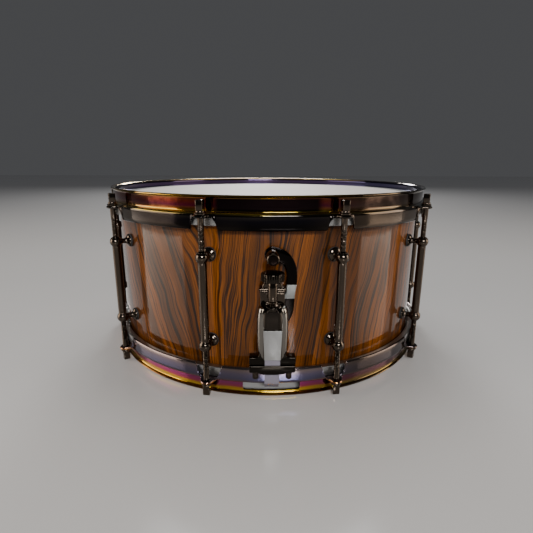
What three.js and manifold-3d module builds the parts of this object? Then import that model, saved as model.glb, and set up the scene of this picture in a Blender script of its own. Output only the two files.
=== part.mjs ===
// A snare drum, 14 inches across and 6.5 inches deep, with ten tube lugs, a throw-off strainer and a butt.
//
// Millimetres, +Z up. The origin is on the drum's axis, in the plane that it stands on: the lip of the
// snare-side hoop. The strainer faces -Y and the butt faces +Y. Everything that belongs to one head is made
// for the snare side, where a height is the distance in from the hoop's lip, and the batter side is the
// same piece turned over. What goes round the shell is made facing -Y and then turned about Z.
import * as THREE from 'three';
import { mergeVertices } from 'three/addons/utils/BufferGeometryUtils.js';
import Module from 'manifold-3d';

const wasm = await Module();
wasm.setup();

// ---- Driving dimensions ----

const GAP = 0.3; // between pieces that touch on the real drum

// Drum
const DRUM_HEIGHT = 183;
const SHELL_RADIUS = 177.5;
const SHELL_WALL = 7.5;
const HEAD_INSET = 8.7; // from a hoop's lip to the playing face of its head
const FILM_THICKNESS = 0.8;
const LUG_COUNT = 10;
const ROD_CIRCLE_RADIUS = 192.5;
const RING_SEGMENTS = 40; // four for each lug, so that a corner lies on every lug

// Hoops, as flanged steel strip
const HOOP_INNER_RADIUS = 180.7;
const HOOP_SHEET = 2.3;
const LIP_RADIUS = 184.8;
const SHOULDER_HEIGHT = 16.2;
const SKIRT_RADIUS = 188.5;
const SKIRT_EDGE = 27;
const BATTER_EAR_INSET = 16.1; // from the lip to the face that the washer presses on
const SNARE_EAR_INSET = 14;
const EAR_REACH = 6; // beyond the rod's axis
const EAR_HALF_WIDTH = 9.5;
const NOTCH_HALF_NARROW = 7.3; // the skirt is cut away under each ear
const NOTCH_HALF_WIDE = 12.5;
const GATE_HALF_WIDTH = 26.5;
const GATE_HEIGHTS = [4.3, 13.3];

// Tension rods
const ROD_RADIUS = 2.6;
const ROD_LENGTH = 67;
const ROD_HEAD_WIDTH = 6.2;
const ROD_HEAD_LENGTH = 9.4;
const ROD_HEAD_TIP = 12.4; // from the ear's face out to the tip of the head
const WASHER_RADIUS = 5;
const WASHER_THICKNESS = 1.5;
const COLLAR_RADIUS = 4;
const ROD_SIDES = 6;

// Tube lugs
const BALL_HEIGHTS = [50.1, 130.9];
const BALL_RADIUS = 5.6;
const TUBE_RADIUS = 4.2;
const BORE_RADIUS = 3.2;
const FOOT_RADIUS = 6.3;
const NECK_RADIUS = 2.4;
const BOLT_RADIUS = 2.6;
const BOLT_HOLE_RADIUS = 3.2;

// Vent
const VENT_AZIMUTH = 144;
const VENT_HOLE_RADIUS = 6.4;

// Strainer, in depths measured outwards from the drum's axis
const BASE_DEPTH = 177.9;
const LEVER_DEPTHS = [181.2, 185.2];
const HOUSING_FRONT = 190.1;
const SLIDER_DEPTHS = [190.4, 203];
const SCREW_DEPTH = 195;
const PIVOT_HEIGHT = 88;
const PIN_RADIUS = 2.5;
const GRIP_HEIGHT = 134;
const GRIP_RADIUS = 5.2;
const GRIP_END = 204.3;
const KNOB_RADIUS = 9.5;
const KNOB_HEIGHTS = [113.7, 122.9];
const SLEEVE_RADIUS = 4.15;
const MOUNT_SCREW_RADIUS = 2;
const MOUNT_HOLE_RADIUS = 2.6;

// Strap clamps, the same at the strainer and at the butt
const CLAMP_DEPTHS = [191.2, 201.2];
const CLAMP_HALF_WIDTH = 20;
const CLAMP_BLOCK_HEIGHTS = [40.3, 47];
const CLAMP_BAR_HEIGHTS = [32.6, 39.1];
const CLAMP_SCREW_OFFSET = 14.6;
const CLAMP_SCREW_TIP = 25;

// Snare wires and straps
const WIRE_COUNT = 20;
const WIRE_PITCH = 2.3;
const WIRE_THICKNESS = 1.5;
const WIRE_HALF_LENGTH = 158;
const END_PLATE_DEPTHS = [154, 166];
const END_PLATE_HALF_WIDTH = 23.5;
const END_PLATE_HEIGHTS = [6.3, 8.3];
const STRAP_WIDTH = 13.2;
const STRAP_THICKNESS = 0.5;

// ---- Materials ----

const finish = (color, roughness, metalness) => (
  new THREE.MeshStandardMaterial({ color, roughness, metalness }));
const lacqueredWood = finish('#7a3c10', 0.15, 0);
const blackNickel = finish('#4a4644', 0.12, 1);
const tintedNickel = finish('#6a4a6a', 0.12, 1);
const coatedFilm = finish('#dcd4cd', 0.6, 0);
const clearFilm = finish('#c9cccd', 0.2, 0);
const aluminium = finish('#c4c6c8', 0.35, 1);
const steelWire = finish('#9a9a9c', 0.3, 1);
const strapFilm = finish('#a9a5b4', 0.3, 0);

// ---- Shapes ----

/** A closed geometry as a solid that can be joined and cut, with its faces turned outwards. */
function toSolid(geometry) {
  const bare = geometry.clone();
  bare.deleteAttribute('normal');
  bare.deleteAttribute('uv');
  const merged = mergeVertices(bare);
  const vertProperties = new Float32Array(merged.attributes.position.array);
  const triVerts = new Uint32Array(merged.index.array);
  if (enclosedVolume(vertProperties, triVerts) < 0) {
    triVerts.reverse();
  }
  return new wasm.Manifold(new wasm.Mesh({ numProp: 3, vertProperties, triVerts }));
}

/** The signed volume inside a closed mesh, negative when its faces point inwards. */
function enclosedVolume(points, corners) {
  const [a, b, c] = [new THREE.Vector3(), new THREE.Vector3(), new THREE.Vector3()];
  let volume = 0;
  for (let i = 0; i < corners.length; i += 3) {
    a.fromArray(points, 3 * corners[i]);
    b.fromArray(points, 3 * corners[i + 1]);
    c.fromArray(points, 3 * corners[i + 2]);
    volume += a.dot(b.cross(c)) / 6;
  }
  return volume;
}

/** A finished solid as a geometry for a mesh. */
function toGeometry(solid) {
  const mesh = solid.getMesh();
  const geometry = new THREE.BufferGeometry();
  geometry.setAttribute('position', new THREE.BufferAttribute(mesh.vertProperties, mesh.numProp));
  geometry.setIndex(new THREE.BufferAttribute(mesh.triVerts, 1));
  geometry.computeVertexNormals();
  return geometry;
}

const join = (first, ...others) => others.reduce((whole, other) => whole.add(other), first);
const cut = (first, ...others) => others.reduce((rest, other) => rest.subtract(other), first);

/** The profile [radius, height] turned about the Z axis. A profile off the axis is closed into a ring. */
function turned(profile, sides) {
  const closed = profile[0][0] > 0 ? [...profile, profile[0]] : profile;
  const points = closed.map(([radius, height]) => new THREE.Vector2(radius, height));
  return toSolid(new THREE.LatheGeometry(points, sides).rotateX(Math.PI / 2));
}

/** The profile [radius, depth] turned about a level axis that points out of the shell at a height. */
function turnedOutwards(profile, sides, height) {
  return turned(profile, sides).rotate([90, 0, 0]).translate([0, 0, height]);
}

/** A straight round bar up from one height to another, its axis at x and at a depth. */
function upright(radius, [low, high], sides, x = 0, depth = 0) {
  const bar = turned([[0, low], [radius, low], [radius, high], [0, high]], sides);
  return bar.translate([x, -depth, 0]);
}

/** A straight round bar along the way out of the shell, between two depths. */
function outwards(radius, [near, far], sides, x, height) {
  const bar = turnedOutwards([[0, near], [radius, near], [radius, far], [0, far]], sides, height);
  return bar.translate([x, 0, 0]);
}

/** A box between x limits, depths out of the shell, and heights. */
function block([left, right], [near, far], [low, high]) {
  const box = new THREE.BoxGeometry(right - left, far - near, high - low);
  return toSolid(box.translate((left + right) / 2, -(near + far) / 2, (low + high) / 2));
}

/** An outline seen from outside, x by height, given thickness between two depths. */
function frontPlate(shape, [near, far], bevel = 0) {
  const geometry = new THREE.ExtrudeGeometry(shape, {
    depth: far - near - 2 * bevel,
    steps: 1,
    curveSegments: 6,
    bevelEnabled: bevel > 0,
    bevelThickness: bevel,
    bevelSize: bevel,
    bevelOffset: -bevel,
    bevelSegments: 1,
  });
  return toSolid(geometry.rotateX(Math.PI / 2).translate(0, -near - bevel, 0));
}

/** An outline seen from above, x by depth, given thickness between two heights. */
function levelPlate(shape, [low, high]) {
  const settings = { depth: high - low, bevelEnabled: false, curveSegments: 4 };
  const geometry = new THREE.ExtrudeGeometry(shape, settings);
  return toSolid(geometry.rotateX(Math.PI).translate(0, 0, high));
}

const polygon = (points) => new THREE.Shape(points.map(([x, y]) => new THREE.Vector2(x, y)));

/** The same outline on both sides of x = 0, from its right-hand points in order. */
const mirrored = (points) => polygon([...points, ...points.map(([x, y]) => [-x, y]).reverse()]);

/** A flat ribbon that follows a path of [depth, height] points. */
function ribbon(path, thickness, width) {
  const points = path.map(([depth, height]) => new THREE.Vector2(-depth, height));
  const side = (sign) => points.map((point, i) => {
    const next = points[Math.min(i + 1, points.length - 1)];
    const previous = points[Math.max(i - 1, 0)];
    const along = next.clone().sub(previous).normalize();
    const across = new THREE.Vector2(-along.y, along.x);
    return point.clone().addScaledVector(across, sign * thickness / 2);
  });
  const shape = new THREE.Shape([...side(1), ...side(-1).reverse()]);
  const geometry = new THREE.ExtrudeGeometry(shape, { depth: width, bevelEnabled: false });
  geometry.translate(0, 0, -width / 2);
  geometry.applyMatrix4(new THREE.Matrix4().set(0, 0, 1, 0, 1, 0, 0, 0, 0, 1, 0, 0, 0, 0, 0, 1));
  return toSolid(geometry);
}

// ---- The assembly ----

const drum = new THREE.Group();

/** Adds one named piece to a group, or to the drum. */
function addPiece(name, solid, material, parent = drum) {
  const mesh = new THREE.Mesh(solid.isBufferGeometry ? solid : toGeometry(solid), material);
  mesh.name = name;
  parent.add(mesh);
  return mesh;
}

/** Turns a piece of the snare side over, to make its twin on the batter side. */
function turnOver(mesh) {
  mesh.rotation.x = Math.PI;
  mesh.position.z = DRUM_HEIGHT;
}

const lugAzimuths = Array.from({ length: LUG_COUNT }, (_, i) => (360 / LUG_COUNT) * (i + 0.5));

// ---- Shell and vent ----

function shellSolid() {
  const inner = SHELL_RADIUS - SHELL_WALL;
  const edge = HEAD_INSET + FILM_THICKNESS + 0.6;
  const snareEdge = [[inner, edge + 4.4], [174, edge], [175, edge], [SHELL_RADIUS, edge + 2]];
  const batterEdge = snareEdge.map(([radius, height]) => [radius, DRUM_HEIGHT - height]).reverse();
  const wallDepths = [inner - 5, SHELL_RADIUS + 5];
  const drill = (radius, sides, height, azimuth) => (
    outwards(radius, wallDepths, sides, 0, height).rotate([0, 0, azimuth]));
  const holes = lugAzimuths.flatMap((azimuth) => (
    BALL_HEIGHTS.map((height) => drill(BOLT_HOLE_RADIUS, 8, height, azimuth))));
  holes.push(...strainerScrewHeights.map((height) => drill(MOUNT_HOLE_RADIUS, 8, height, 0)));
  holes.push(...buttScrewHeights.map((height) => drill(MOUNT_HOLE_RADIUS, 8, height, 180)));
  holes.push(drill(VENT_HOLE_RADIUS, 12, DRUM_HEIGHT / 2, VENT_AZIMUTH));
  return cut(turned([...snareEdge, ...batterEdge], RING_SEGMENTS), ...holes);
}

function ventGrommetSolid() {
  const flange = SHELL_RADIUS + 0.6;
  const profile = [
    [4.6, 167.5], [5.9, 167.5], [5.9, flange], [9, flange], [8.4, flange + 1.3], [4.6, flange + 1.3],
  ];
  return turnedOutwards(profile, 12, DRUM_HEIGHT / 2);
}

// ---- Hoops and heads, as on the snare side ----

/** A hoop of flanged strip, with an ear for each rod and, where asked, a gate for each strap. */
function hoopSolid(earInset, withGates) {
  const outer = HOOP_INNER_RADIUS + HOOP_SHEET;
  const skirtInner = SKIRT_RADIUS - HOOP_SHEET;
  const shoulderTop = SHOULDER_HEIGHT - 1.8;
  const profile = [
    [HOOP_INNER_RADIUS, 1.8], [181.9, 0], [183.9, 0], [LIP_RADIUS, 1.1], [LIP_RADIUS, 2.8], [outer, 4.8],
    [outer, shoulderTop - 0.5], [187.2, shoulderTop + 0.3], [SKIRT_RADIUS, SHOULDER_HEIGHT + 0.2],
    [SKIRT_RADIUS, SKIRT_EDGE], [skirtInner, SKIRT_EDGE], [skirtInner, SHOULDER_HEIGHT],
    [HOOP_INNER_RADIUS, SHOULDER_HEIGHT],
  ];
  const earHeights = [earInset, earInset + HOOP_SHEET];
  const ears = lugAzimuths.map((azimuth) => earSolid(earHeights).rotate([0, 0, azimuth]));
  const notches = lugAzimuths.map((azimuth) => notchSolid(earHeights[1]).rotate([0, 0, azimuth]));
  const rodHole = upright(ROD_RADIUS + 0.7, [0, SKIRT_EDGE], ROD_SIDES, 0, ROD_CIRCLE_RADIUS);
  const washerSeat = upright(WASHER_RADIUS + 0.5, [0, earInset], ROD_SIDES, 0, ROD_CIRCLE_RADIUS);
  const rodHoles = lugAzimuths.map((azimuth) => join(rodHole, washerSeat).rotate([0, 0, azimuth]));
  const gateBlock = block([-GATE_HALF_WIDTH, GATE_HALF_WIDTH], [170, outer + 1], GATE_HEIGHTS);
  const gates = withGates ? [gateBlock, gateBlock.rotate([0, 0, 180])] : [];
  return cut(join(cut(turned(profile, RING_SEGMENTS), ...notches), ...ears), ...rodHoles, ...gates);
}

/** A flat ear that reaches out from the hoop round one rod, with a round end. */
function earSolid(heights) {
  const root = SKIRT_RADIUS - HOOP_SHEET + 0.4;
  const shape = new THREE.Shape();
  shape.moveTo(-EAR_HALF_WIDTH, root);
  shape.lineTo(EAR_HALF_WIDTH, root);
  shape.absarc(0, ROD_CIRCLE_RADIUS, EAR_REACH, 0, Math.PI);
  return levelPlate(shape, heights);
}

/** What is cut from the skirt under an ear, narrow at the ear and wide at the skirt's edge. */
function notchSolid(earBack) {
  const edge = SKIRT_EDGE + 1;
  const shape = mirrored([[NOTCH_HALF_NARROW, earBack], [NOTCH_HALF_WIDE, edge]]);
  return frontPlate(shape, [SKIRT_RADIUS - HOOP_SHEET - 2, SKIRT_RADIUS + 2]);
}

/** The head's film: a flat disc with its edge turned down over the shell. */
function filmSolid() {
  const face = HEAD_INSET;
  const back = face + FILM_THICKNESS;
  const collarEnd = SHOULDER_HEIGHT;
  return turned([
    [0, face], [176.2, face], [179.2, face + 2.1], [179.2, collarEnd],
    [SHELL_RADIUS + 0.4, collarEnd], [SHELL_RADIUS + 0.4, face + 3.1], [174.9, back], [0, back],
  ], RING_SEGMENTS);
}

/** The metal ring that the film is bonded in, which the hoop pulls down. */
function headRingSolid() {
  const [low, high] = [SHOULDER_HEIGHT + GAP, SKIRT_EDGE - 0.9];
  const [inner, outer] = [179.6, SKIRT_RADIUS - HOOP_SHEET - 0.5];
  return turned([[inner, low], [outer, low], [outer, high], [inner, high]], RING_SEGMENTS);
}

// ---- Lugs and tension rods ----

/** A tube held by two ball posts, with their bolts through the shell. */
function lugSolid() {
  const postProfile = [
    [0, 166.3], [5, 166.3], [5, 169.1], [BOLT_RADIUS, 169.1], [BOLT_RADIUS, 178], [FOOT_RADIUS, 178],
    [FOOT_RADIUS, 180.6], [NECK_RADIUS, 183.8], [NECK_RADIUS, 188.5], [0, 188.5],
  ];
  const posts = BALL_HEIGHTS.map((height) => turnedOutwards(postProfile, 8, height));
  const ball = toSolid(new THREE.SphereGeometry(BALL_RADIUS, 8, 5).rotateX(Math.PI / 2));
  const balls = BALL_HEIGHTS.map((height) => ball.translate([0, -ROD_CIRCLE_RADIUS, height]));
  const tube = upright(TUBE_RADIUS, BALL_HEIGHTS, 8, 0, ROD_CIRCLE_RADIUS);
  const boreHeights = [BALL_HEIGHTS[0] - 10, BALL_HEIGHTS[1] + 10];
  const bore = upright(BORE_RADIUS, boreHeights, ROD_SIDES, 0, ROD_CIRCLE_RADIUS);
  return cut(join(tube, ...balls, ...posts), bore);
}

/** A tension rod with its washer and square head, on its own axis, the tip of its head at height 0. */
function rodSolid() {
  const washerTop = ROD_HEAD_TIP - 0.4;
  const washerUnder = washerTop - WASHER_THICKNESS;
  const collarUnder = ROD_HEAD_LENGTH - 0.2;
  const shank = turned([
    [0, collarUnder], [COLLAR_RADIUS, collarUnder], [COLLAR_RADIUS, washerUnder],
    [WASHER_RADIUS, washerUnder], [WASHER_RADIUS, washerTop], [ROD_RADIUS, washerTop],
    [ROD_RADIUS, ROD_LENGTH], [0, ROD_LENGTH],
  ], ROD_SIDES);
  const half = ROD_HEAD_WIDTH / 2;
  return join(shank, block([-half, half], [-half, half], [0, ROD_HEAD_LENGTH]));
}

// ---- Strap clamps, made at the strainer ----

const clampScrewSpots = [-CLAMP_SCREW_OFFSET, CLAMP_SCREW_OFFSET];
const clampScrewDepth = (CLAMP_DEPTHS[0] + CLAMP_DEPTHS[1]) / 2;

/** The fixed jaw, with a blind hole for each clamp screw. */
function clampBlockSolid() {
  const body = block([-CLAMP_HALF_WIDTH, CLAMP_HALF_WIDTH], CLAMP_DEPTHS, CLAMP_BLOCK_HEIGHTS);
  const holes = clampScrewSpots.map((x) => upright(2.1, [30, 45.4], 8, x, clampScrewDepth));
  return cut(body, ...holes);
}

/** The loose jaw under it, with a belly in the middle of its lower edge. */
function clampBarSolid() {
  const [low, high] = CLAMP_BAR_HEIGHTS;
  const outline = mirrored([[9, low - 2.2], [11.5, low], [CLAMP_HALF_WIDTH, low], [CLAMP_HALF_WIDTH, high]]);
  const holes = clampScrewSpots.map((x) => upright(2.1, [30, 45], 8, x, clampScrewDepth));
  return cut(frontPlate(outline, CLAMP_DEPTHS), ...holes);
}

function clampScrewSolid(x) {
  const head = upright(2.7, [CLAMP_SCREW_TIP, CLAMP_BAR_HEIGHTS[0] - GAP], 8, x, clampScrewDepth);
  return join(head, upright(1.6, [CLAMP_BAR_HEIGHTS[0] - 1, 44.8], 8, x, clampScrewDepth));
}

/** The strap: out of the jaws, down past the skirt, in through the gate and under the end plate. */
function strapSolid() {
  const front = CLAMP_DEPTHS[1] + 0.6;
  const back = CLAMP_DEPTHS[0] - 0.8;
  const level = (CLAMP_BLOCK_HEIGHTS[0] + CLAMP_BAR_HEIGHTS[1]) / 2;
  return ribbon([
    [front, 44], [front, level + 0.5], [front - 0.5, level], [back + 0.5, level], [back, level - 0.7],
    [190, 24], [189.7, 15], [187.5, 9.6], [184.5, 7], [180, 6.1], [170, 5.8], [156, 5.8],
  ], STRAP_THICKNESS, STRAP_WIDTH);
}

// ---- Strainer ----

const strainerScrewHeights = [58, 106];
const buttScrewHeights = [54, 74];

/** The housing on the shell: a back plate, a block over the lever, and a domed top with a ledge. */
function housingSolid() {
  const backPlate = block([-10.5, 10.5], [BASE_DEPTH, LEVER_DEPTHS[0] - GAP], [52, 103.5]);
  const head = block([-10.5, 10.5], [BASE_DEPTH, HOUSING_FRONT], [99.5, 103.5]);
  const face = block([-10.5, 10.5], [LEVER_DEPTHS[1] + GAP, HOUSING_FRONT], [62, 101]);
  const ledge = block([-11.5, 11.5], [BASE_DEPTH, HOUSING_FRONT], [103.4, 105.5]);
  const domeOutline = mirrored([[9, 105.4], [9, 109], [6, 112], [2, 112.7]]);
  const dome = frontPlate(domeOutline, [BASE_DEPTH, HOUSING_FRONT]);
  const pinHole = outwards(PIN_RADIUS + 0.4, [BASE_DEPTH - 1, 189], 10, 0, PIVOT_HEIGHT);
  const screwHoles = strainerScrewHeights.map((height) => outwards(2.4, [BASE_DEPTH - 1, 186], 8, 0, height));
  return cut(join(backPlate, head, face, ledge, dome), pinHole, ...screwHoles);
}

/** The lever: an arm that runs from its hub round the knob and up to the grip. */
function leverSolid() {
  const shape = new THREE.Shape();
  shape.moveTo(6, 127.1);
  shape.bezierCurveTo(14.5, 122.5, 12.2, 112, 11.9, 100.7);
  shape.lineTo(7, 93);
  shape.absarc(0, PIVOT_HEIGHT, 8, Math.PI / 4, -Math.PI / 3);
  shape.lineTo(14.4, 73.4);
  shape.bezierCurveTo(20.5, 82, 18.5, 91, 20.2, 102.4);
  shape.bezierCurveTo(24, 122, 18.5, 136, 5, 139.4);
  shape.absarc(0, GRIP_HEIGHT, 6.6, Math.PI / 3, Math.PI * 1.6);
  const pinHole = outwards(PIN_RADIUS + 0.4, [LEVER_DEPTHS[0] - 1, LEVER_DEPTHS[1] + 1], 10, 0, PIVOT_HEIGHT);
  return cut(frontPlate(shape, LEVER_DEPTHS), pinHole);
}

function gripSolid() {
  const near = LEVER_DEPTHS[1] + GAP;
  const profile = [
    [0, near], [GRIP_RADIUS, near], [GRIP_RADIUS, GRIP_END - 0.9], [GRIP_RADIUS - 0.9, GRIP_END],
    [0, GRIP_END],
  ];
  return turnedOutwards(profile, 16, GRIP_HEIGHT);
}

/** The slider that the lever moves, with the fixed jaw of the strap clamp at its foot. */
function sliderSolid() {
  const outline = mirrored([[9.7, 44.5], [11.8, 48], [13, 54], [13.5, 72], [13.2, 84], [12, 91.7]]);
  const body = frontPlate(outline, SLIDER_DEPTHS, 1.2);
  const facetDepths = [SLIDER_DEPTHS[1] - 1, SLIDER_DEPTHS[1] + 0.5];
  const facet = frontPlate(mirrored([[6.9, 45.9], [8, 72.4]]), facetDepths);
  const bore = upright(3.3, [62, 95], 10, 0, SCREW_DEPTH);
  return cut(join(body, facet, clampBlockSolid()), bore);
}

function knobSolid() {
  const [low, high] = KNOB_HEIGHTS;
  const profile = [
    [0, low], [KNOB_RADIUS - 0.8, low], [KNOB_RADIUS, low + 0.8], [KNOB_RADIUS, high - 1.8],
    [KNOB_RADIUS - 1.6, high - 0.3], [0, high],
  ];
  return turned(profile, 20).translate([0, -SCREW_DEPTH, 0]);
}

/** The knob's screw: a sleeve with a round end, and the thread that goes down into the slider. */
function tensionScrewSolid() {
  const profile = [
    [0, 70], [2.5, 70], [2.5, 95.1], [3.2, 95.1], [SLEEVE_RADIUS, 96.6],
    [SLEEVE_RADIUS, KNOB_HEIGHTS[0] - GAP], [0, KNOB_HEIGHTS[0] - GAP],
  ];
  return turned(profile, 10).translate([0, -SCREW_DEPTH, 0]);
}

/** A screw that holds a fitting from inside the shell, up to a depth. */
function mountScrewSolid(height, end) {
  const inner = SHELL_RADIUS - SHELL_WALL;
  const profile = [
    [0, inner - 3.8], [4, inner - 3.8], [4, inner - 0.9], [MOUNT_SCREW_RADIUS, inner - 0.9],
    [MOUNT_SCREW_RADIUS, end], [0, end],
  ];
  return turnedOutwards(profile, 8, height);
}

// ---- Butt and snare wires ----

/** The butt, made facing -Y: a plate on the shell and an arm that carries the fixed jaw. */
function buttPlateSolid() {
  const outline = mirrored([[11, 44.5], [13.5, 48], [13.5, 76], [10, 81], [4, 83]]);
  const plate = frontPlate(outline, [BASE_DEPTH, 184], 0.8);
  const arm = block([-11, 11], [183, CLAMP_DEPTHS[0] + 1], [CLAMP_BLOCK_HEIGHTS[0] + 4.3, 58]);
  const holes = buttScrewHeights.map((height) => outwards(2.4, [BASE_DEPTH - 1, 183], 8, 0, height));
  return cut(join(plate, arm, clampBlockSolid()), ...holes);
}

/** All the wires side by side, with a soldered plate across each end. */
function snareWiresSolid() {
  const wireLow = END_PLATE_HEIGHTS[0] + 0.25;
  const firstWire = -WIRE_PITCH * (WIRE_COUNT - 1) / 2;
  const wires = Array.from({ length: WIRE_COUNT }, (_, i) => {
    const x = firstWire + WIRE_PITCH * i;
    const sides = [x - WIRE_THICKNESS / 2, x + WIRE_THICKNESS / 2];
    return block(sides, [-WIRE_HALF_LENGTH, WIRE_HALF_LENGTH], [wireLow, wireLow + WIRE_THICKNESS]);
  });
  const plate = block([-END_PLATE_HALF_WIDTH, END_PLATE_HALF_WIDTH], END_PLATE_DEPTHS, END_PLATE_HEIGHTS);
  return join(plate, plate.rotate([0, 0, 180]), ...wires);
}

// ---- Putting it together ----

addPiece('shell', shellSolid(), lacqueredWood);
addPiece('vent_grommet', ventGrommetSolid(), blackNickel).rotation.z = THREE.MathUtils.degToRad(VENT_AZIMUTH);

addPiece('snare_hoop', hoopSolid(SNARE_EAR_INSET, true), tintedNickel);
addPiece('snare_head_film', filmSolid(), clearFilm);
addPiece('snare_head_ring', headRingSolid(), aluminium);
turnOver(addPiece('batter_hoop', hoopSolid(BATTER_EAR_INSET, false), tintedNickel));
turnOver(addPiece('batter_head_film', filmSolid(), coatedFilm));
turnOver(addPiece('batter_head_ring', headRingSolid(), aluminium));

const lugGeometry = toGeometry(lugSolid());
const rodGeometry = toGeometry(rodSolid());
lugAzimuths.forEach((azimuth, i) => {
  const number = String(i + 1).padStart(2, '0');
  const station = new THREE.Group();
  station.rotation.z = THREE.MathUtils.degToRad(azimuth);
  drum.add(station);
  addPiece(`tube_lug_${number}`, lugGeometry, blackNickel, station);
  const snareRod = addPiece(`snare_tension_rod_${number}`, rodGeometry, blackNickel, station);
  snareRod.position.set(0, -ROD_CIRCLE_RADIUS, SNARE_EAR_INSET - ROD_HEAD_TIP);
  const batterRod = addPiece(`batter_tension_rod_${number}`, rodGeometry, blackNickel, station);
  batterRod.rotation.x = Math.PI;
  batterRod.position.set(0, -ROD_CIRCLE_RADIUS, DRUM_HEIGHT - BATTER_EAR_INSET + ROD_HEAD_TIP);
});

addPiece('strainer_housing', housingSolid(), blackNickel);
addPiece('strainer_mount_screw_lower', mountScrewSolid(strainerScrewHeights[0], 180.4), blackNickel);
addPiece('strainer_mount_screw_upper', mountScrewSolid(strainerScrewHeights[1], 185.5), blackNickel);
const pivotPin = outwards(PIN_RADIUS, [BASE_DEPTH + GAP, 188.6], 10, 0, PIVOT_HEIGHT);
addPiece('lever_pivot_pin', pivotPin, blackNickel);
addPiece('throw_lever', leverSolid(), blackNickel);
addPiece('lever_grip', gripSolid(), blackNickel);
addPiece('strainer_slider', sliderSolid(), blackNickel);
addPiece('tension_knob', knobSolid(), blackNickel);
addPiece('tension_screw', tensionScrewSolid(), blackNickel);
addPiece('strainer_clamp_bar', clampBarSolid(), blackNickel);
addPiece('strainer_clamp_screw_left', clampScrewSolid(-CLAMP_SCREW_OFFSET), blackNickel);
addPiece('strainer_clamp_screw_right', clampScrewSolid(CLAMP_SCREW_OFFSET), blackNickel);
addPiece('strainer_strap', strapSolid(), strapFilm);

const rear = new THREE.Group();
rear.rotation.z = Math.PI;
drum.add(rear);
addPiece('butt_plate', buttPlateSolid(), blackNickel, rear);
addPiece('butt_mount_screw_lower', mountScrewSolid(buttScrewHeights[0], 182.4), blackNickel, rear);
addPiece('butt_mount_screw_upper', mountScrewSolid(buttScrewHeights[1], 182.4), blackNickel, rear);
addPiece('butt_clamp_bar', clampBarSolid(), blackNickel, rear);
addPiece('butt_clamp_screw_left', clampScrewSolid(CLAMP_SCREW_OFFSET), blackNickel, rear);
addPiece('butt_clamp_screw_right', clampScrewSolid(-CLAMP_SCREW_OFFSET), blackNickel, rear);
addPiece('butt_strap', strapSolid(), strapFilm, rear);

addPiece('snare_wires', snareWiresSolid(), steelWire);

export default drum;
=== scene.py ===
"""Looks of a fourteen-inch snare drum with ten tube lugs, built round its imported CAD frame.

Every finished piece stands at the origin with its place in its mesh, in metres, +Z up. The strainer
faces -Y. Round the shell a place is given by an azimuth, 0 at the strainer and growing towards +X, by
a depth, the distance out from the drum's axis, and by a height. Sizes in the classes are in millimetres.
"""

from __future__ import annotations

import logging
import math
from dataclasses import dataclass, field
from enum import Enum
from functools import cache
from typing import Iterable, Sequence

import bmesh
import bpy
from bpy.types import Material, Mesh, Node, NodeSocket, NodeTree, Object
from mathutils import Matrix, Vector

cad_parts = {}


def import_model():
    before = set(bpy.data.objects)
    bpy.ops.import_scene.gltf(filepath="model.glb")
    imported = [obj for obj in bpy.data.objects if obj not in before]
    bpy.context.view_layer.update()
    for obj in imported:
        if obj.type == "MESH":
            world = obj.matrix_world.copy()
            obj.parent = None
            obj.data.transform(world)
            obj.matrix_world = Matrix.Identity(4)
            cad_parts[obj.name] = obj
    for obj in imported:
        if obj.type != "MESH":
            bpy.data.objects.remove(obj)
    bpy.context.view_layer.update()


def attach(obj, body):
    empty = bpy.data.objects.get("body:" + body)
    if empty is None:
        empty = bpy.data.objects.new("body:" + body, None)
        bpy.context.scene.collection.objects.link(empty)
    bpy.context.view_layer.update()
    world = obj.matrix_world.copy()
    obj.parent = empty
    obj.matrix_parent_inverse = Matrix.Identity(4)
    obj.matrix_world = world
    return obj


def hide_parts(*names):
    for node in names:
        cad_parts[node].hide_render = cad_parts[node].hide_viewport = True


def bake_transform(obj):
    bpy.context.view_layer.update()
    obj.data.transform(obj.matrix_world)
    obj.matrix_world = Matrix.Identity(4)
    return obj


LOG = logging.getLogger("snare_drum")
MM = 0.001
SHELL_RADIUS = 177.5
DRUM_HEIGHT = 183.0
ROD_CIRCLE = 192.5
BASE = 177.9
WARM_LIGHT = (1.0, 0.87, 0.74)

Point = tuple[float, float]
Colour = tuple[float, float, float]
Place = tuple[float, float, float]
Stops = tuple[tuple[float, Colour], ...]
Sockets = bpy.types.bpy_prop_collection


# -------------------------------------------------------------------------------------------- meshes


def smooth_step(low: float, high: float, value: float) -> float:
    """A smooth rise from 0 at low to 1 at high."""
    share = min(max((value - low) / (high - low), 0.0), 1.0)
    return share * share * (3.0 - 2.0 * share)


def through(points: Sequence[Point], value: float) -> float:
    """The height at value of the straight lines through points, flat beyond their ends.

    Args:
        points: Corners (x, y), with x growing.
        value: The x to read at.

    Returns:
        The height there.
    """
    for (x0, y0), (x1, y1) in zip(points, points[1:]):
        if value <= x1:
            return y0 + (y1 - y0) * min(max((value - x0) / (x1 - x0), 0.0), 1.0)
    return points[-1][1]


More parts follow.
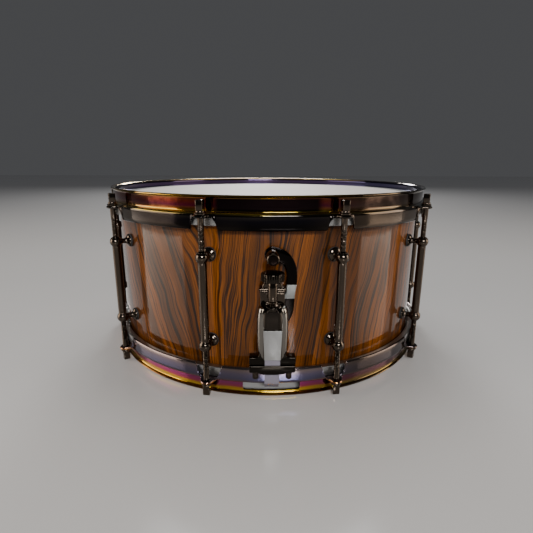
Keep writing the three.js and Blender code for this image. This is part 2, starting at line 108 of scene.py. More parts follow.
def rounded(points: Sequence[tuple[float, ...]], radius: float = 0.0, steps: int = 4,
            closed: bool = True) -> list[Point]:
    """Rounds the corners of a flat outline.

    Args:
        points: The corners as (x, y), or as (x, y, radius) where a corner has its own radius.
        radius: The radius of the corners that state none.
        steps: Short lines in each rounded corner.
        closed: Whether the last corner joins the first.

    Returns:
        The outline's points in the same order.
    """
    count = len(points)
    outline: list[Point] = []
    for i, corner in enumerate(points):
        here = Vector(corner[:2])
        reach = corner[2] if len(corner) > 2 else radius
        if reach <= 0 or (not closed and i in (0, count - 1)):
            outline.append((here.x, here.y))
            continue
        before = Vector(points[i - 1][:2]) - here
        after = Vector(points[(i + 1) % count][:2]) - here
        half = before.angle(after) / 2
        if half > math.pi / 2 - 0.02:
            outline.append((here.x, here.y))
            continue
        cut = min(reach / math.tan(half), before.length * 0.49, after.length * 0.49)
        start = here + before.normalized() * cut
        end = here + after.normalized() * cut
        for step in range(steps + 1):
            share = step / steps
            point = start.lerp(here, share).lerp(here.lerp(end, share), share)
            outline.append((point.x, point.y))
    return outline


def mirrored(points: Sequence[tuple[float, ...]]) -> list[tuple[float, ...]]:
    """The same outline on both sides of x = 0, from its right-hand corners in order."""
    return [*points, *((-p[0], *p[1:]) for p in reversed(points))]


def rectangle(half: float, low: float, high: float) -> list[Point]:
    """The corners of a rectangle that reaches half to each side of x = 0."""
    return [(-half, low), (half, low), (half, high), (-half, high)]


@dataclass
class Draft:
    """Points in millimetres and faces, gathered before they become a piece."""

    points: list[Vector] = field(default_factory=list)
    faces: list[tuple[int, ...]] = field(default_factory=list)

    def add(self, points: Iterable[Vector], faces: Iterable[Sequence[int]]) -> "Draft":
        """Adds points, and faces that count from the first of them.

        Args:
            points: Places in millimetres.
            faces: Numbers of the points round each face.

        Returns:
            This draft.
        """
        first = len(self.points)
        self.points.extend(points)
        self.faces.extend(tuple(first + i for i in face) for face in faces)
        return self

    def join(self, other: "Draft", place: Matrix = Matrix.Identity(4)) -> "Draft":
        """Adds a placed copy of another draft."""
        return self.add((place @ p for p in other.points), other.faces)

    def loops(self, rows: Sequence[Sequence[Vector]], ring: bool = False) -> "Draft":
        """Joins rows of points, each closed on itself, into a skin.

        Args:
            rows: Rows with the same number of points.
            ring: Whether the last row joins the first. If not, a face closes each of the two.

        Returns:
            This draft.
        """
        width = len(rows[0])
        faces: list[Sequence[int]] = []
        row_pairs = len(rows) if ring else len(rows) - 1
        for i in range(row_pairs):
            low, high = i * width, (i + 1) % len(rows) * width
            for j in range(width):
                k = (j + 1) % width
                faces.append((low + j, low + k, high + k, high + j))
        if not ring:
            last = (len(rows) - 1) * width
            faces.append(tuple(reversed(range(width))))
            faces.append(tuple(range(last, last + width)))
        return self.add((p for row in rows for p in row), faces)

    def turned(self, profile: Sequence[Point], sides: int, ring: bool = False) -> "Draft":
        """Turns a profile of (radius, height) about the Z axis.

        Args:
            profile: From bottom to top on the outside, or a closed section if ring is true.
            sides: Steps round the axis.
            ring: Whether the profile is a closed section away from the axis.

        Returns:
            This draft.
        """
        angles = [2 * math.pi * i / sides for i in range(sides)]
        rows = [[Vector((r * math.sin(a), -r * math.cos(a), h)) for a in angles] for r, h in profile]
        return self.loops(rows, ring=ring)

    def plate(self, outline: Sequence[Point], low: float, high: float, edge: float = 0.0,
              steps: int = 3) -> "Draft":
        """Gives a flat outline thickness along Z, with rounded edges.

        Args:
            outline: Points (x, y), turning anticlockwise.
            low: The lower face.
            high: The upper face.
            edge: The radius of the long edges.
            steps: Steps in each rounded edge.

        Returns:
            This draft.
        """
        flat = [Vector(p) for p in outline]
        if sum(a.cross(b) for a, b in zip(flat, flat[1:] + flat[:1])) < 0:
            flat.reverse()
        inwards = []
        for before, here, after in zip(flat[-1:] + flat[:-1], flat, flat[1:] + flat[:1]):
            first = (here - before).normalized().orthogonal()
            second = (after - here).normalized().orthogonal()
            middle = (first + second).normalized()
            inwards.append(middle / max(middle.dot(first), 0.5))
        rows = []
        turns = [math.pi / 2 * i / steps for i in range(steps + 1)] if edge > 0 else [math.pi / 2]
        levels = [(low + edge * (1 - math.cos(t)), edge * (1 - math.sin(t))) for t in turns]
        levels += [(high + low - h, inset) for h, inset in reversed(levels)]
        for height, inset in levels:
            rows.append([Vector((*(p + n * inset), height)) for p, n in zip(flat, inwards)])
        return self.loops(rows)

    def piece(self, name: str, material: Material, place: Matrix = Matrix.Identity(4),
              crease: float = 38.0) -> Object:
        """Makes the draft an object at the origin.

        Args:
            name: The object's name.
            material: Its material.
            place: Where the draft's own frame lies in the drum's, in millimetres.
            crease: Edges sharper than this many degrees stay sharp.

        Returns:
            The new object, its faces turned outwards.
        """
        mesh = bpy.data.meshes.new(name)
        mesh.from_pydata([(place @ p) * MM for p in self.points], [], self.faces)
        mesh.materials.append(material)
        obj = bpy.data.objects.new(name, mesh)
        bpy.context.scene.collection.objects.link(obj)
        finish_mesh(mesh, crease)
        return obj


def finish_mesh(mesh: Mesh, crease: float = 38.0) -> None:
    """Merges doubles, turns the faces of a closed mesh outwards and shades it smooth between creases.

    Args:
        mesh: The mesh to finish.
        crease: Edges sharper than this many degrees stay sharp.
    """
    work = bmesh.new()
    work.from_mesh(mesh)
    bmesh.ops.remove_doubles(work, verts=work.verts, dist=1e-6)
    bmesh.ops.dissolve_degenerate(work, edges=work.edges, dist=1e-7)
    bmesh.ops.recalc_face_normals(work, faces=work.faces)
    work.to_mesh(mesh)
    work.free()
    mesh.shade_smooth()
    mesh.set_sharp_from_angle(angle=math.radians(crease))


def outwards(azimuth: float, height: float = 0.0) -> Matrix:
    """The frame of a fitting on the shell: X to the right, Y up, Z out from the drum's axis."""
    upright = Matrix.Translation((0, 0, height)) @ Matrix.Rotation(math.radians(90), 4, "X")
    return Matrix.Rotation(math.radians(azimuth), 4, "Z") @ upright


def station(azimuth: float) -> Matrix:
    """A turn about the drum's axis, from the strainer's side to an azimuth."""
    return Matrix.Rotation(math.radians(azimuth), 4, "Z")


def carve(obj: Object, cutters: Sequence[Object], crease: float = 38.0) -> None:
    """Cuts the cutters out of an object and deletes them.

    Args:
        obj: The object to cut.
        cutters: The shapes to take away.
        crease: Edges sharper than this many degrees stay sharp.
    """
    for cutter in cutters:
        modifier = obj.modifiers.new("cut", "BOOLEAN")
        modifier.operation = "DIFFERENCE"
        modifier.solver = "EXACT"
        modifier.object = cutter
    replace_mesh(obj)
    finish_mesh(obj.data, crease)
    for cutter in cutters:
        bpy.data.objects.remove(cutter)


def replace_mesh(obj: Object) -> None:
    """Makes an object's evaluated shape its plain mesh, and clears its modifiers.

    Args:
        obj: An object with modifiers.
    """
    bpy.context.view_layer.update()
    evaluated = obj.evaluated_get(bpy.context.evaluated_depsgraph_get())
    mesh = bpy.data.meshes.new_from_object(evaluated)
    obj.modifiers.clear()
    obj.data = mesh
    mesh.name = obj.name


# ---------------------------------------------------------------------------------------- node trees


class Wiring:
    """Adds nodes to one node tree and joins their sockets."""

    def __init__(self, tree: NodeTree) -> None:
        """Works on the given tree."""
        self.tree = tree

    def node(self, kind: str, inputs: dict[str | int, object] | None = None,
             **settings: object) -> Node:
        """Adds a node.

        Args:
            kind: The node's type name.
            inputs: Values or output sockets, by the input's name or number.
            settings: The node's own properties.

        Returns:
            The new node.
        """
        node = self.tree.nodes.new(kind)
        for name, value in settings.items():
            setattr(node, name, value)
        for key, value in (inputs or {}).items():
            self.feed(node.inputs[key], value)
        return node

    def made(self, kind: str, inputs: dict[str | int, object] | None = None,
             **settings: object) -> NodeSocket:
        """The first output of a new node, whose inputs and settings are as for node."""
        return self.node(kind, inputs, **settings).outputs[0]

    def feed(self, socket: NodeSocket, value: object) -> None:
        """Joins an output to a socket, or sets the socket's own value.

        Args:
            socket: The input.
            value: An output socket, or a plain value.
        """
        if isinstance(value, NodeSocket):
            self.tree.links.new(value, socket)
        elif socket.type == "RGBA" and len(value) == 3:
            socket.default_value = (*value, 1.0)
        else:
            socket.default_value = value

    def calc(self, operation: str, *values: object) -> NodeSocket:
        """The result of one step of arithmetic on one or two values."""
        return self.made("ShaderNodeMath", dict(enumerate(values)), operation=operation)

    def times(self, first: object, second: object) -> NodeSocket:
        """The product of two values."""
        return self.calc("MULTIPLY", first, second)

    def plus(self, first: object, second: object) -> NodeSocket:
        """The sum of two values."""
        return self.calc("ADD", first, second)

    def minus(self, first: object, second: object) -> NodeSocket:
        """The difference of two values."""
        return self.calc("SUBTRACT", first, second)

    def vector(self, x: object, y: object, z: object) -> NodeSocket:
        """Three values as a vector."""
        return self.made("ShaderNodeCombineXYZ", {0: x, 1: y, 2: z})

    def mix(self, share: object, first: object, second: object) -> NodeSocket:
        """Two colours mixed by a share of the second."""
        inputs = {0: share, 6: first, 7: second}
        return self.node("ShaderNodeMix", inputs, data_type="RGBA").outputs[2]

    def noise(self, place: object, scale: float = 1.0, detail: float = 2.0,
              roughness: float = 0.5) -> NodeSocket:
        """Soft noise from 0 to 1 at a place."""
        inputs = {"Vector": place, "Scale": scale, "Detail": detail, "Roughness": roughness}
        return self.node("ShaderNodeTexNoise", inputs).outputs["Fac"]

    def remap(self, value: object, low: float, high: float, to_low: float = 0.0,
              to_high: float = 1.0) -> NodeSocket:
        """A value moved smoothly from one range to another and held at its ends."""
        inputs = {"Value": value, "From Min": low, "From Max": high, "To Min": to_low, "To Max": to_high}
        return self.made("ShaderNodeMapRange", inputs, interpolation_type="SMOOTHSTEP")

    def ramp(self, value: object, stops: Sequence[tuple[float, Colour]]) -> NodeSocket:
        """A colour that changes along a row of stops.

        Args:
            value: Where to read the ramp, from 0 to 1.
            stops: Positions and their colours, in order.

        Returns:
            The colour.
        """
        node = self.node("ShaderNodeValToRGB", {0: value})
        elements = node.color_ramp.elements
        while len(elements) < len(stops):
            elements.new(1.0)
        for element, (position, colour) in zip(elements, stops):
            element.position = position
            element.color = (*colour, 1.0)
        return node.outputs[0]

    def swept(self, curve: NodeSocket, section: NodeSocket) -> NodeSocket:
        """A mesh with a section drawn along a curve, closed at both ends."""
        inputs = {"Curve": curve, "Profile Curve": section, "Fill Caps": True}
        return self.made("GeometryNodeCurveToMesh", inputs)

    def bump(self, height: object, distance: float, strength: float = 1.0) -> NodeSocket:
        """A normal roughened by a height."""
        inputs = {"Height": height, "Distance": distance, "Strength": strength}
        return self.made("ShaderNodeBump", inputs)


class Pattern:
    """A geometry node tree that makes what repeats, with named inputs for its sizes."""

    def __init__(self, name: str, inputs: dict[str, str]) -> None:
        """Makes the tree's interface.

        Args:
            name: The tree's name.
            inputs: The kind of each named input, such as Float or Int.
        """
        self.tree = bpy.data.node_groups.new(name, "GeometryNodeTree")
        self.tree.interface.new_socket("Geometry", in_out="INPUT", socket_type="NodeSocketGeometry")
        self.tree.interface.new_socket("Geometry", in_out="OUTPUT", socket_type="NodeSocketGeometry")
        self.identifiers = {}
        for label, kind in {**inputs, "Material": "Material"}.items():
            kind_name = "NodeSocket" + kind
            socket = self.tree.interface.new_socket(label, in_out="INPUT", socket_type=kind_name)
            self.identifiers[label] = socket.identifier
        self.wiring = Wiring(self.tree)
        self.source = self.wiring.node("NodeGroupInput").outputs
        self.sink = self.wiring.node("NodeGroupOutput").inputs

    def close(self, geometry: NodeSocket) -> None:
        """Ends the tree: every instance made real, and the material set.

        Args:
            geometry: What the tree has made.
        """
        real = self.wiring.made("GeometryNodeRealizeInstances", {"Geometry": geometry})
        painted = {"Geometry": real, "Material": self.source["Material"]}
        self.wiring.feed(self.sink[0], self.wiring.made("GeometryNodeSetMaterial", painted))

    def close_with_source(self, geometry: NodeSocket, place: NodeSocket) -> None:
        """Ends the tree with what it has made, moved to a place, and the mesh that came in.

        Args:
            geometry: What the tree has made.
            place: How far it is moved.
        """
        placed = self.wiring.made("GeometryNodeTransform", {"Geometry": geometry, "Translation": place})
        both = self.wiring.node("GeometryNodeJoinGeometry")
        self.wiring.feed(both.inputs[0], self.source["Geometry"])
        self.wiring.feed(both.inputs[0], placed)
        self.close(both.outputs[0])

    def run(self, obj: Object, material: Material, **values: object) -> Object:
        """Runs the tree on an object and keeps the result as its plain mesh.

        Args:
            obj: The object whose mesh goes in.
            material: The material of the result.
            values: The named inputs, with _ for a space.

        Returns:
            The same object.
        """
        modifier = obj.modifiers.new(self.tree.name, "NODES")
        modifier.node_group = self.tree
        for label, value in {**values, "Material": material}.items():
            modifier[self.identifiers[label.replace("_", " ")]] = value
        replace_mesh(obj)
        if not obj.data.materials:
            obj.data.materials.append(material)
        return obj


def empty_piece(name: str) -> Object:
    """An object with an empty mesh, for a tree that needs no shape to start from.

    Args:
        name: The object's name.

    Returns:
        The new object.
    """
    obj = bpy.data.objects.new(name, bpy.data.meshes.new(name))
    bpy.context.scene.collection.objects.link(obj)
    return obj


@cache
def thread_pattern() -> Pattern:
    """Winds a screw's ridge round an upright bar and joins it to the bar.

    Returns:
        The tree, with sizes for the bar, the ridge and the winding.
    """
    sizes = ("Radius", "Pitch", "Turns", "Start", "Ridge")
    pattern = Pattern("screw_thread", dict.fromkeys(sizes, "Float"))
    source, wiring = pattern.source, pattern.wiring
    rise = wiring.times(source["Pitch"], source["Turns"])
    spiral = wiring.made("GeometryNodeCurveSpiral", {
        "Resolution": 14, "Rotations": source["Turns"], "Start Radius": source["Radius"],
        "End Radius": source["Radius"], "Height": rise})
    section = wiring.made("GeometryNodeCurvePrimitiveCircle", {
        "Resolution": 4, "Radius": source["Ridge"]})
    ridge = wiring.swept(spiral, section)
    lift = wiring.vector(0.0, 0.0, source["Start"])
    pattern.close_with_source(ridge, lift)
    return pattern


@cache
def ridge_pattern() -> Pattern:
    """Stands thin upright ribs side by side round a wheel, and joins them to it.

    Returns:
        The tree, with sizes for the wheel and the ribs.
    """
    pattern = Pattern("knurled_rim", {"Count": "Int", "Radius": "Float", "Rib": "Float", "Height": "Float",
                                      "Middle": "Vector"})
    source, wiring = pattern.source, pattern.wiring
    rim = {"Vertices": source["Count"], "Radius": source["Radius"]}
    circle = wiring.made("GeometryNodeMeshCircle", rim)
    rib = wiring.made("GeometryNodeMeshCylinder", {
        "Vertices": 8, "Radius": source["Rib"], "Depth": source["Height"]})
    ribs = wiring.made("GeometryNodeInstanceOnPoints", {"Points": circle, "Instance": rib})
    pattern.close_with_source(ribs, source["Middle"])
    return pattern


@cache
def coil_pattern() -> Pattern:
    """Lays coiled wires side by side along Y.

    Returns:
        The tree, with sizes for the coils and their row.
    """
    pattern = Pattern("coiled_wires", {"Count": "Int", "Spacing": "Float", "Coil Radius": "Float",
                                       "Wire Radius": "Float", "Length": "Float", "Turns": "Float",
                                       "Height": "Float"})
    source, wiring = pattern.source, pattern.wiring
    spiral = wiring.made("GeometryNodeCurveSpiral", {
        "Resolution": 8, "Rotations": source["Turns"], "Start Radius": source["Coil Radius"],
        "End Radius": source["Coil Radius"], "Height": source["Length"]})
    section = wiring.made("GeometryNodeCurvePrimitiveCircle", {
        "Resolution": 3, "Radius": source["Wire Radius"]})
    wire = wiring.swept(spiral, section)
    reach = wiring.times(source["Length"], 0.5)
    laid = wiring.made("GeometryNodeTransform", {
        "Geometry": wire, "Translation": wiring.vector(0.0, reach, source["Height"]),
        "Rotation": (math.pi / 2, 0.0, 0.0)})
    gaps = wiring.minus(source["Count"], 1.0)
    first = wiring.times(wiring.times(gaps, source["Spacing"]), -0.5)
    line = wiring.made("GeometryNodeMeshLine", {
        "Count": source["Count"], "Start Location": wiring.vector(first, 0.0, 0.0),
        "Offset": wiring.vector(source["Spacing"], 0.0, 0.0)})
    row = wiring.made("GeometryNodeInstanceOnPoints", {"Points": line, "Instance": laid})
    pattern.close(row)
    return pattern


@cache
def round_the_shell_pattern() -> Pattern:
    """Repeats a shape made at the strainer's azimuth once for every lug round the shell.

    Returns:
        The tree, with the number of copies.
    """
    pattern = Pattern("round_the_shell", {"Count": "Int"})
    source, wiring = pattern.source, pattern.wiring
    still = {"Count": source["Count"], "Offset": (0.0, 0.0, 0.0)}
    line = wiring.made("GeometryNodeMeshLine", still)
    index = wiring.made("GeometryNodeInputIndex")
    step = wiring.calc("DIVIDE", 2 * math.pi, source["Count"])
    turn = wiring.vector(0.0, 0.0, wiring.times(wiring.plus(index, 0.5), step))
    ring = wiring.made("GeometryNodeInstanceOnPoints", {
        "Points": line, "Instance": source["Geometry"], "Rotation": turn})
    pattern.close(ring)
    return pattern


# ------------------------------------------------------------------------------------------ finishes


def shader_group(name: str, inputs: dict[str, str], outputs: dict[str, str]) -> tuple[NodeTree, Wiring]:
    """An empty shader node group with named sockets.

    Args:
        name: The group's name.
        inputs: The kind of each input, such as Float or Vector.
        outputs: The kind of each output.

    Returns:
        The group, and a wiring to fill it with.
    """
    group = bpy.data.node_groups.new(name, "ShaderNodeTree")
    for label, kind in inputs.items():
        group.interface.new_socket(label, in_out="INPUT", socket_type="NodeSocket" + kind)
    for label, kind in outputs.items():
        group.interface.new_socket(label, in_out="OUTPUT", socket_type="NodeSocket" + kind)
    return group, Wiring(group)


def scaled(colour: Colour, factor: float) -> Colour:
    """A colour made paler or darker by a factor."""
    return tuple(factor * channel for channel in colour)


@cache
def round_coordinates() -> NodeTree:
    """Turns a place on the drum into the way round the shell, the height and the depth, in millimetres.

    Returns:
        The shader group.
    """
    group, wiring = shader_group("round_the_drum", {"Place": "Vector"},
                                 {"Round": "Float", "Height": "Float", "Depth": "Float"})
    source = wiring.node("NodeGroupInput").outputs
    axes = wiring.node("ShaderNodeSeparateXYZ", {0: source["Place"]}).outputs
    azimuth = wiring.calc("ARCTAN2", axes[0], wiring.times(axes[1], -1.0))
    square = wiring.plus(wiring.times(axes[0], axes[0]), wiring.times(axes[1], axes[1]))
    wiring.node("NodeGroupOutput", {
        "Round": wiring.times(azimuth, SHELL_RADIUS),
        "Height": wiring.times(axes[2], 1000.0),
        "Depth": wiring.times(wiring.calc("SQRT", square), 1000.0)})
    return group


@cache
def handling_marks() -> NodeTree:
    """Faint smears, dust and hairline scratches, as left on polished parts by cloths and fingers.

    Returns:
        The shader group, which puts out three masks.
    """
    group, wiring = shader_group("handling_marks", {"Place": "Vector", "Scale": "Float"},
                                 {"Smear": "Float", "Dust": "Float", "Scratch": "Float"})
    source = wiring.node("NodeGroupInput").outputs
    place = wiring.made("ShaderNodeVectorMath", {0: source["Place"], "Scale": source["Scale"]},
                        operation="SCALE")
    smear = wiring.remap(wiring.noise(place, 38.0, 4.0, 0.6), 0.42, 0.72)
    dust = wiring.remap(wiring.noise(place, 1900.0, 1.0, 0.5), 0.70, 0.80)
    long_place = wiring.made("ShaderNodeMapping", {
        "Vector": place, "Rotation": (0.5, 0.3, 0.9), "Scale": (2600.0, 60.0, 900.0)})
    scratch = wiring.remap(wiring.noise(long_place, 1.0, 1.0, 0.4), 0.68, 0.78)
    wiring.node("NodeGroupOutput", {"Smear": smear, "Dust": dust, "Scratch": scratch})
    return group


@dataclass(frozen=True)
class Finish:
    """A finish and the material slot that it belongs to."""

    name: str
    slot: str

    def material(self) -> Material:
        """Makes the material.

        Returns:
            The new material.
        """
        material = bpy.data.materials.new(self.name)
        material.use_nodes = True
        material.node_tree.nodes.clear()
        wiring = Wiring(material.node_tree)
        shader = wiring.node("ShaderNodeBsdfPrincipled")
        wiring.node("ShaderNodeOutputMaterial", {0: shader.outputs[0]})
        place = wiring.node("ShaderNodeTexCoord").outputs["Object"]
        self.dress(wiring, shader, place)
        return material

    def dress(self, wiring: Wiring, shader: Node, place: NodeSocket) -> None:
        """Wires the material. Each kind of finish has its own.

        Args:
            wiring: Adds the nodes.
            shader: The node that the colours and values go to.
            place: The place on the drum, in metres.
        """
        raise NotImplementedError

    @staticmethod
    def marks(wiring: Wiring, place: NodeSocket, scale: float = 1.0) -> Sockets:
        """The outputs of the handling marks at a place.

        Args:
            wiring: Adds the nodes.
            place: The place on the drum.
            scale: Above 1 for finer marks.

        Returns:
            The masks Smear, Dust and Scratch.
        """
        node = wiring.node("ShaderNodeGroup", node_tree=handling_marks())
        wiring.feed(node.inputs["Place"], place)
        wiring.feed(node.inputs["Scale"], scale)
        return node.outputs

    @staticmethod
    def round_place(wiring: Wiring, place: NodeSocket) -> Sockets:
        """The way round, height and depth of a place.

        Args:
            wiring: Adds the nodes.
            place: The place on the drum, in metres.

        Returns:
            The values Round, Height and Depth, in millimetres.
        """
        node = wiring.node("ShaderNodeGroup", node_tree=round_coordinates())
        wiring.feed(node.inputs["Place"], place)
        return node.outputs


@dataclass(frozen=True)
class Veneer(Finish):
    """Streaked brown veneer under a thick gloss lacquer, with plain maple inside the shell."""

    amber: Colour = (0.205, 0.057, 0.0022)
    brown: Colour = (0.070, 0.020, 0.0012)
    streak: Colour = (0.008, 0.004, 0.002)
    maple: Colour = (0.56, 0.38, 0.21)
    inside_depth: float = 175.0

    def dress(self, wiring: Wiring, shader: Node, place: NodeSocket) -> None:
        """Streaks run up the shell, and lean the other way well to the left of the strainer.

        Args:
            wiring: Adds the nodes.
            shader: The node that the colours and values go to.
            place: The place on the drum, in metres.
        """
        spot = self.round_place(wiring, place)
        across, up = spot["Round"], spot["Height"]

        def figure(round_scale: float, up_scale: float, seed: float, source: object = across,
                   detail: float = 2.0, roughness: float = 0.5) -> NodeSocket:
            """Noise stretched along the grain.

            Args:
                round_scale: Its scale round the shell, per millimetre.
                up_scale: Its scale along the grain, per millimetre.
                seed: A different number for each noise.
                source: The way round the shell that it is read at.
                detail: Its octaves.
                roughness: How strong the finer octaves are.

            Returns:
                The noise, from 0 to 1.
            """
            spread = wiring.times(source, round_scale)
            return wiring.noise(wiring.vector(spread, wiring.times(up, up_scale), seed), 1.0, detail,
                                roughness)

        lean = wiring.remap(across, -30.0, -95.0, -0.17, 0.36)
        sheared = wiring.plus(across, wiring.times(lean, wiring.minus(up, 90.0)))
        sway = wiring.times(figure(0.012, 0.010, 3.0), 24.0)
        ripple = wiring.times(figure(0.05, 0.024, 9.0), 3.6)
        grain = wiring.plus(sheared, wiring.plus(sway, ripple))
        bands = figure(0.040, 0.0030, 1.0, grain, 3.0, 0.6)
        lines = figure(0.205, 0.0045, 5.0, grain, 4.0, 0.66)
        veins = figure(0.560, 0.0070, 6.0, grain, 3.0, 0.6)
        hairs = figure(1.100, 0.0160, 7.0, grain, 2.0, 0.6)
        pores = figure(3.400, 0.1600, 2.0, grain, 2.0, 0.6)
        ground = wiring.mix(wiring.remap(bands, 0.40, 0.60), self.amber, self.brown)
        tinted = wiring.mix(wiring.remap(hairs, 0.38, 0.66, 0.0, 0.75), ground, self.brown)
        broad = wiring.remap(lines, 0.540, 0.620)
        thin = wiring.remap(veins, 0.510, 0.600, 0.0, 0.92)
        shade = wiring.remap(bands, 0.62, 0.72, 0.0, 0.7)
        dark = wiring.calc("MAXIMUM", wiring.calc("MAXIMUM", broad, thin), shade)
        streaked = wiring.mix(wiring.times(dark, 0.95), tinted, self.streak)
        flecked = wiring.mix(wiring.remap(pores, 0.60, 0.80, 0.0, 0.5), streaked, self.streak)
        inner = wiring.mix(wiring.remap(hairs, 0.3, 0.8, 0.0, 0.5), self.maple, scaled(self.maple, 0.7))
        is_inside = wiring.calc("LESS_THAN", spot["Depth"], self.inside_depth)
        wiring.feed(shader.inputs["Base Color"], wiring.mix(is_inside, flecked, inner))
        marks = self.marks(wiring, place)
        wiring.feed(shader.inputs["Roughness"], wiring.remap(pores, 0.2, 0.8, 0.38, 0.52))
        shader.inputs["Specular IOR Level"].default_value = 0.1
        shader.inputs["Coat Weight"].default_value = 1.0
        shader.inputs["Coat IOR"].default_value = 1.34
        shader.inputs["Coat Roughness"].default_value = 0.025
        relief = wiring.plus(wiring.times(sway, 0.012), wiring.times(marks["Scratch"], 0.02))
        wiring.feed(shader.inputs["Coat Normal"], wiring.bump(relief, 0.00012, 0.2))
        wiring.feed(shader.inputs["Normal"], wiring.bump(pores, 0.00004, 0.3))


@dataclass(frozen=True)
class Plating(Finish):
    """Polished plated metal of one tone."""

    tone: Colour = (0.068, 0.053, 0.041)
    roughness: float = 0.07
    smear: float = 0.10

    def dress(self, wiring: Wiring, shader: Node, place: NodeSocket) -> None:
        """A dark mirror with faint smears, a little dust and hairlines.

        Args:
            wiring: Adds the nodes.
            shader: The node that the colours and values go to.
            place: The place on the drum, in metres.
        """
        marks = self.marks(wiring, place)
        worn = wiring.mix(wiring.times(marks["Smear"], 0.35), self.tone, scaled(self.tone, 1.25))
        wiring.feed(shader.inputs["Base Color"], worn)
        shader.inputs["Metallic"].default_value = 1.0
        haze = wiring.plus(wiring.times(marks["Smear"], self.smear), self.roughness)
        wiring.feed(shader.inputs["Roughness"], wiring.plus(haze, wiring.times(marks["Dust"], 0.1)))
        wiring.feed(shader.inputs["Normal"], wiring.bump(marks["Scratch"], 0.000012, 0.25))


@dataclass(frozen=True)
class HighlightBandPlating(Plating):
    """Polished plating with one level band painted pale as a highlight, and rough like satin."""

    highlight_band: Point = (95.0, 107.4)
    highlight_tone: Colour = (0.42, 0.43, 0.42)

    def dress(self, wiring: Wiring, shader: Node, place: NodeSocket) -> None:
        """The painted highlight band is paler towards its top.

        Args:
            wiring: Adds the nodes.
            shader: The node that the colours and values go to.
            place: The place on the drum, in metres.
        """
        super().dress(wiring, shader, place)
        height = self.round_place(wiring, place)["Height"]
        low, high = self.highlight_band
        above = wiring.remap(height, low - 0.2, low + 0.2)
        in_highlight = wiring.times(above, wiring.remap(height, high + 0.2, high - 0.2))
        highlight_fade = wiring.remap(height, high, low)
        # painted highlight: the band's colour, paler towards its top, stands in for light reflected off
        # the lever
        toned = wiring.mix(highlight_fade, self.highlight_tone, scaled(self.highlight_tone, 0.5))
        for name, value in (("Base Color", toned), ("Roughness", (0.42, 0.42, 0.42))):
            polished = shader.inputs[name].links[0].from_socket
            wiring.feed(shader.inputs[name], wiring.mix(in_highlight, polished, value))


@dataclass(frozen=True)
class ReflectingFlankPlating(Plating):
    """Dark plating with a painted reflection on both flanks of a casting that stands at x = 0."""

    flank: Colour = (0.21, 0.195, 0.175)
    hollow_half: float = 7.4

    def dress(self, wiring: Wiring, shader: Node, place: NodeSocket) -> None:
        """The painted reflection on the flanks starts at the reeds beside the hollow.

        Args:
            wiring: Adds the nodes.
            shader: The node that the colours and values go to.
            place: The place on the drum, in metres.
        """
        super().dress(wiring, shader, place)
        sideways = wiring.made("ShaderNodeSeparateXYZ", {0: place})
        across = wiring.times(wiring.calc("ABSOLUTE", sideways), 1000.0)
        on_reflecting_flank = wiring.remap(across, self.hollow_half - 0.4, self.hollow_half + 1.2)
        dark = shader.inputs["Base Color"].links[0].from_socket
        # painted reflection: a brighter colour on the flanks, beside the darker middle
        wiring.feed(shader.inputs["Base Color"], wiring.mix(on_reflecting_flank, dark, self.flank))


@dataclass(frozen=True)
class TintAndHighlightPlating(Plating):
    """Plating whose thin oxide shows magenta, violet and blue, changing round the hoop, and painted gold
    highlights.
    """

    lip: float = 0.0
    inwards: float = 1.0
    stops: Stops = ()
    black_half: float = 0.0
    black: Colour = (0.010, 0.006, 0.007)
    inner_tone: Colour = (0.030, 0.032, 0.085)

    def dress(self, wiring: Wiring, shader: Node, place: NodeSocket) -> None:
        """The oxide's colours and the painted highlights follow the distance in from the hoop's lip, and
        wander and fade round the hoop.

        Args:
            wiring: Adds the nodes.
            shader: The node that the colours and values go to.
            place: The place on the drum, in metres.
        """
        super().dress(wiring, shader, place)
        spot = self.round_place(wiring, place)
        inset = wiring.times(wiring.minus(spot["Height"], self.lip), self.inwards)
        around = spot["Round"]
        shift = wiring.noise(place, 18.0, 2.0)
        moved = wiring.plus(inset, wiring.times(wiring.minus(shift, 0.5), 5.0))
        # painted highlight: the ramp's gold stops at the lip and shoulder bends
        tint_and_highlights = wiring.ramp(wiring.calc("DIVIDE", moved, 27.0), self.stops)
        mottled = wiring.remap(wiring.noise(place, 9.0, 1.0), 0.38, 0.58, 0.55, 1.0)
        near_side = wiring.remap(around, 20.0, 95.0, 1.0, 0.18)
        far_side = wiring.remap(around, 340.0, 550.0, 0.0, 0.82)
        strength = wiring.times(mottled, wiring.plus(near_side, far_side))
        smear = self.marks(wiring, place)["Smear"]
        plain = wiring.mix(wiring.times(smear, 0.3), self.tone, scaled(self.tone, 1.2))
        tinted = wiring.mix(strength, plain, tint_and_highlights)
        if self.black_half > 0:
            from_middle = wiring.calc("ABSOLUTE", wiring.plus(around, 4.0))
            in_middle = wiring.remap(from_middle, self.black_half + 8.0, self.black_half, 0.0, 0.99)
            on_wall = wiring.remap(wiring.calc("ABSOLUTE", wiring.minus(inset, 8.4)), 6.0, 4.8)
            tinted = wiring.mix(wiring.times(in_middle, on_wall), tinted, self.black)
        is_inner = wiring.remap(spot["Depth"], 181.9, 181.3, 0.0, 0.85)
        wiring.feed(shader.inputs["Base Color"], wiring.mix(is_inner, tinted, self.inner_tone))


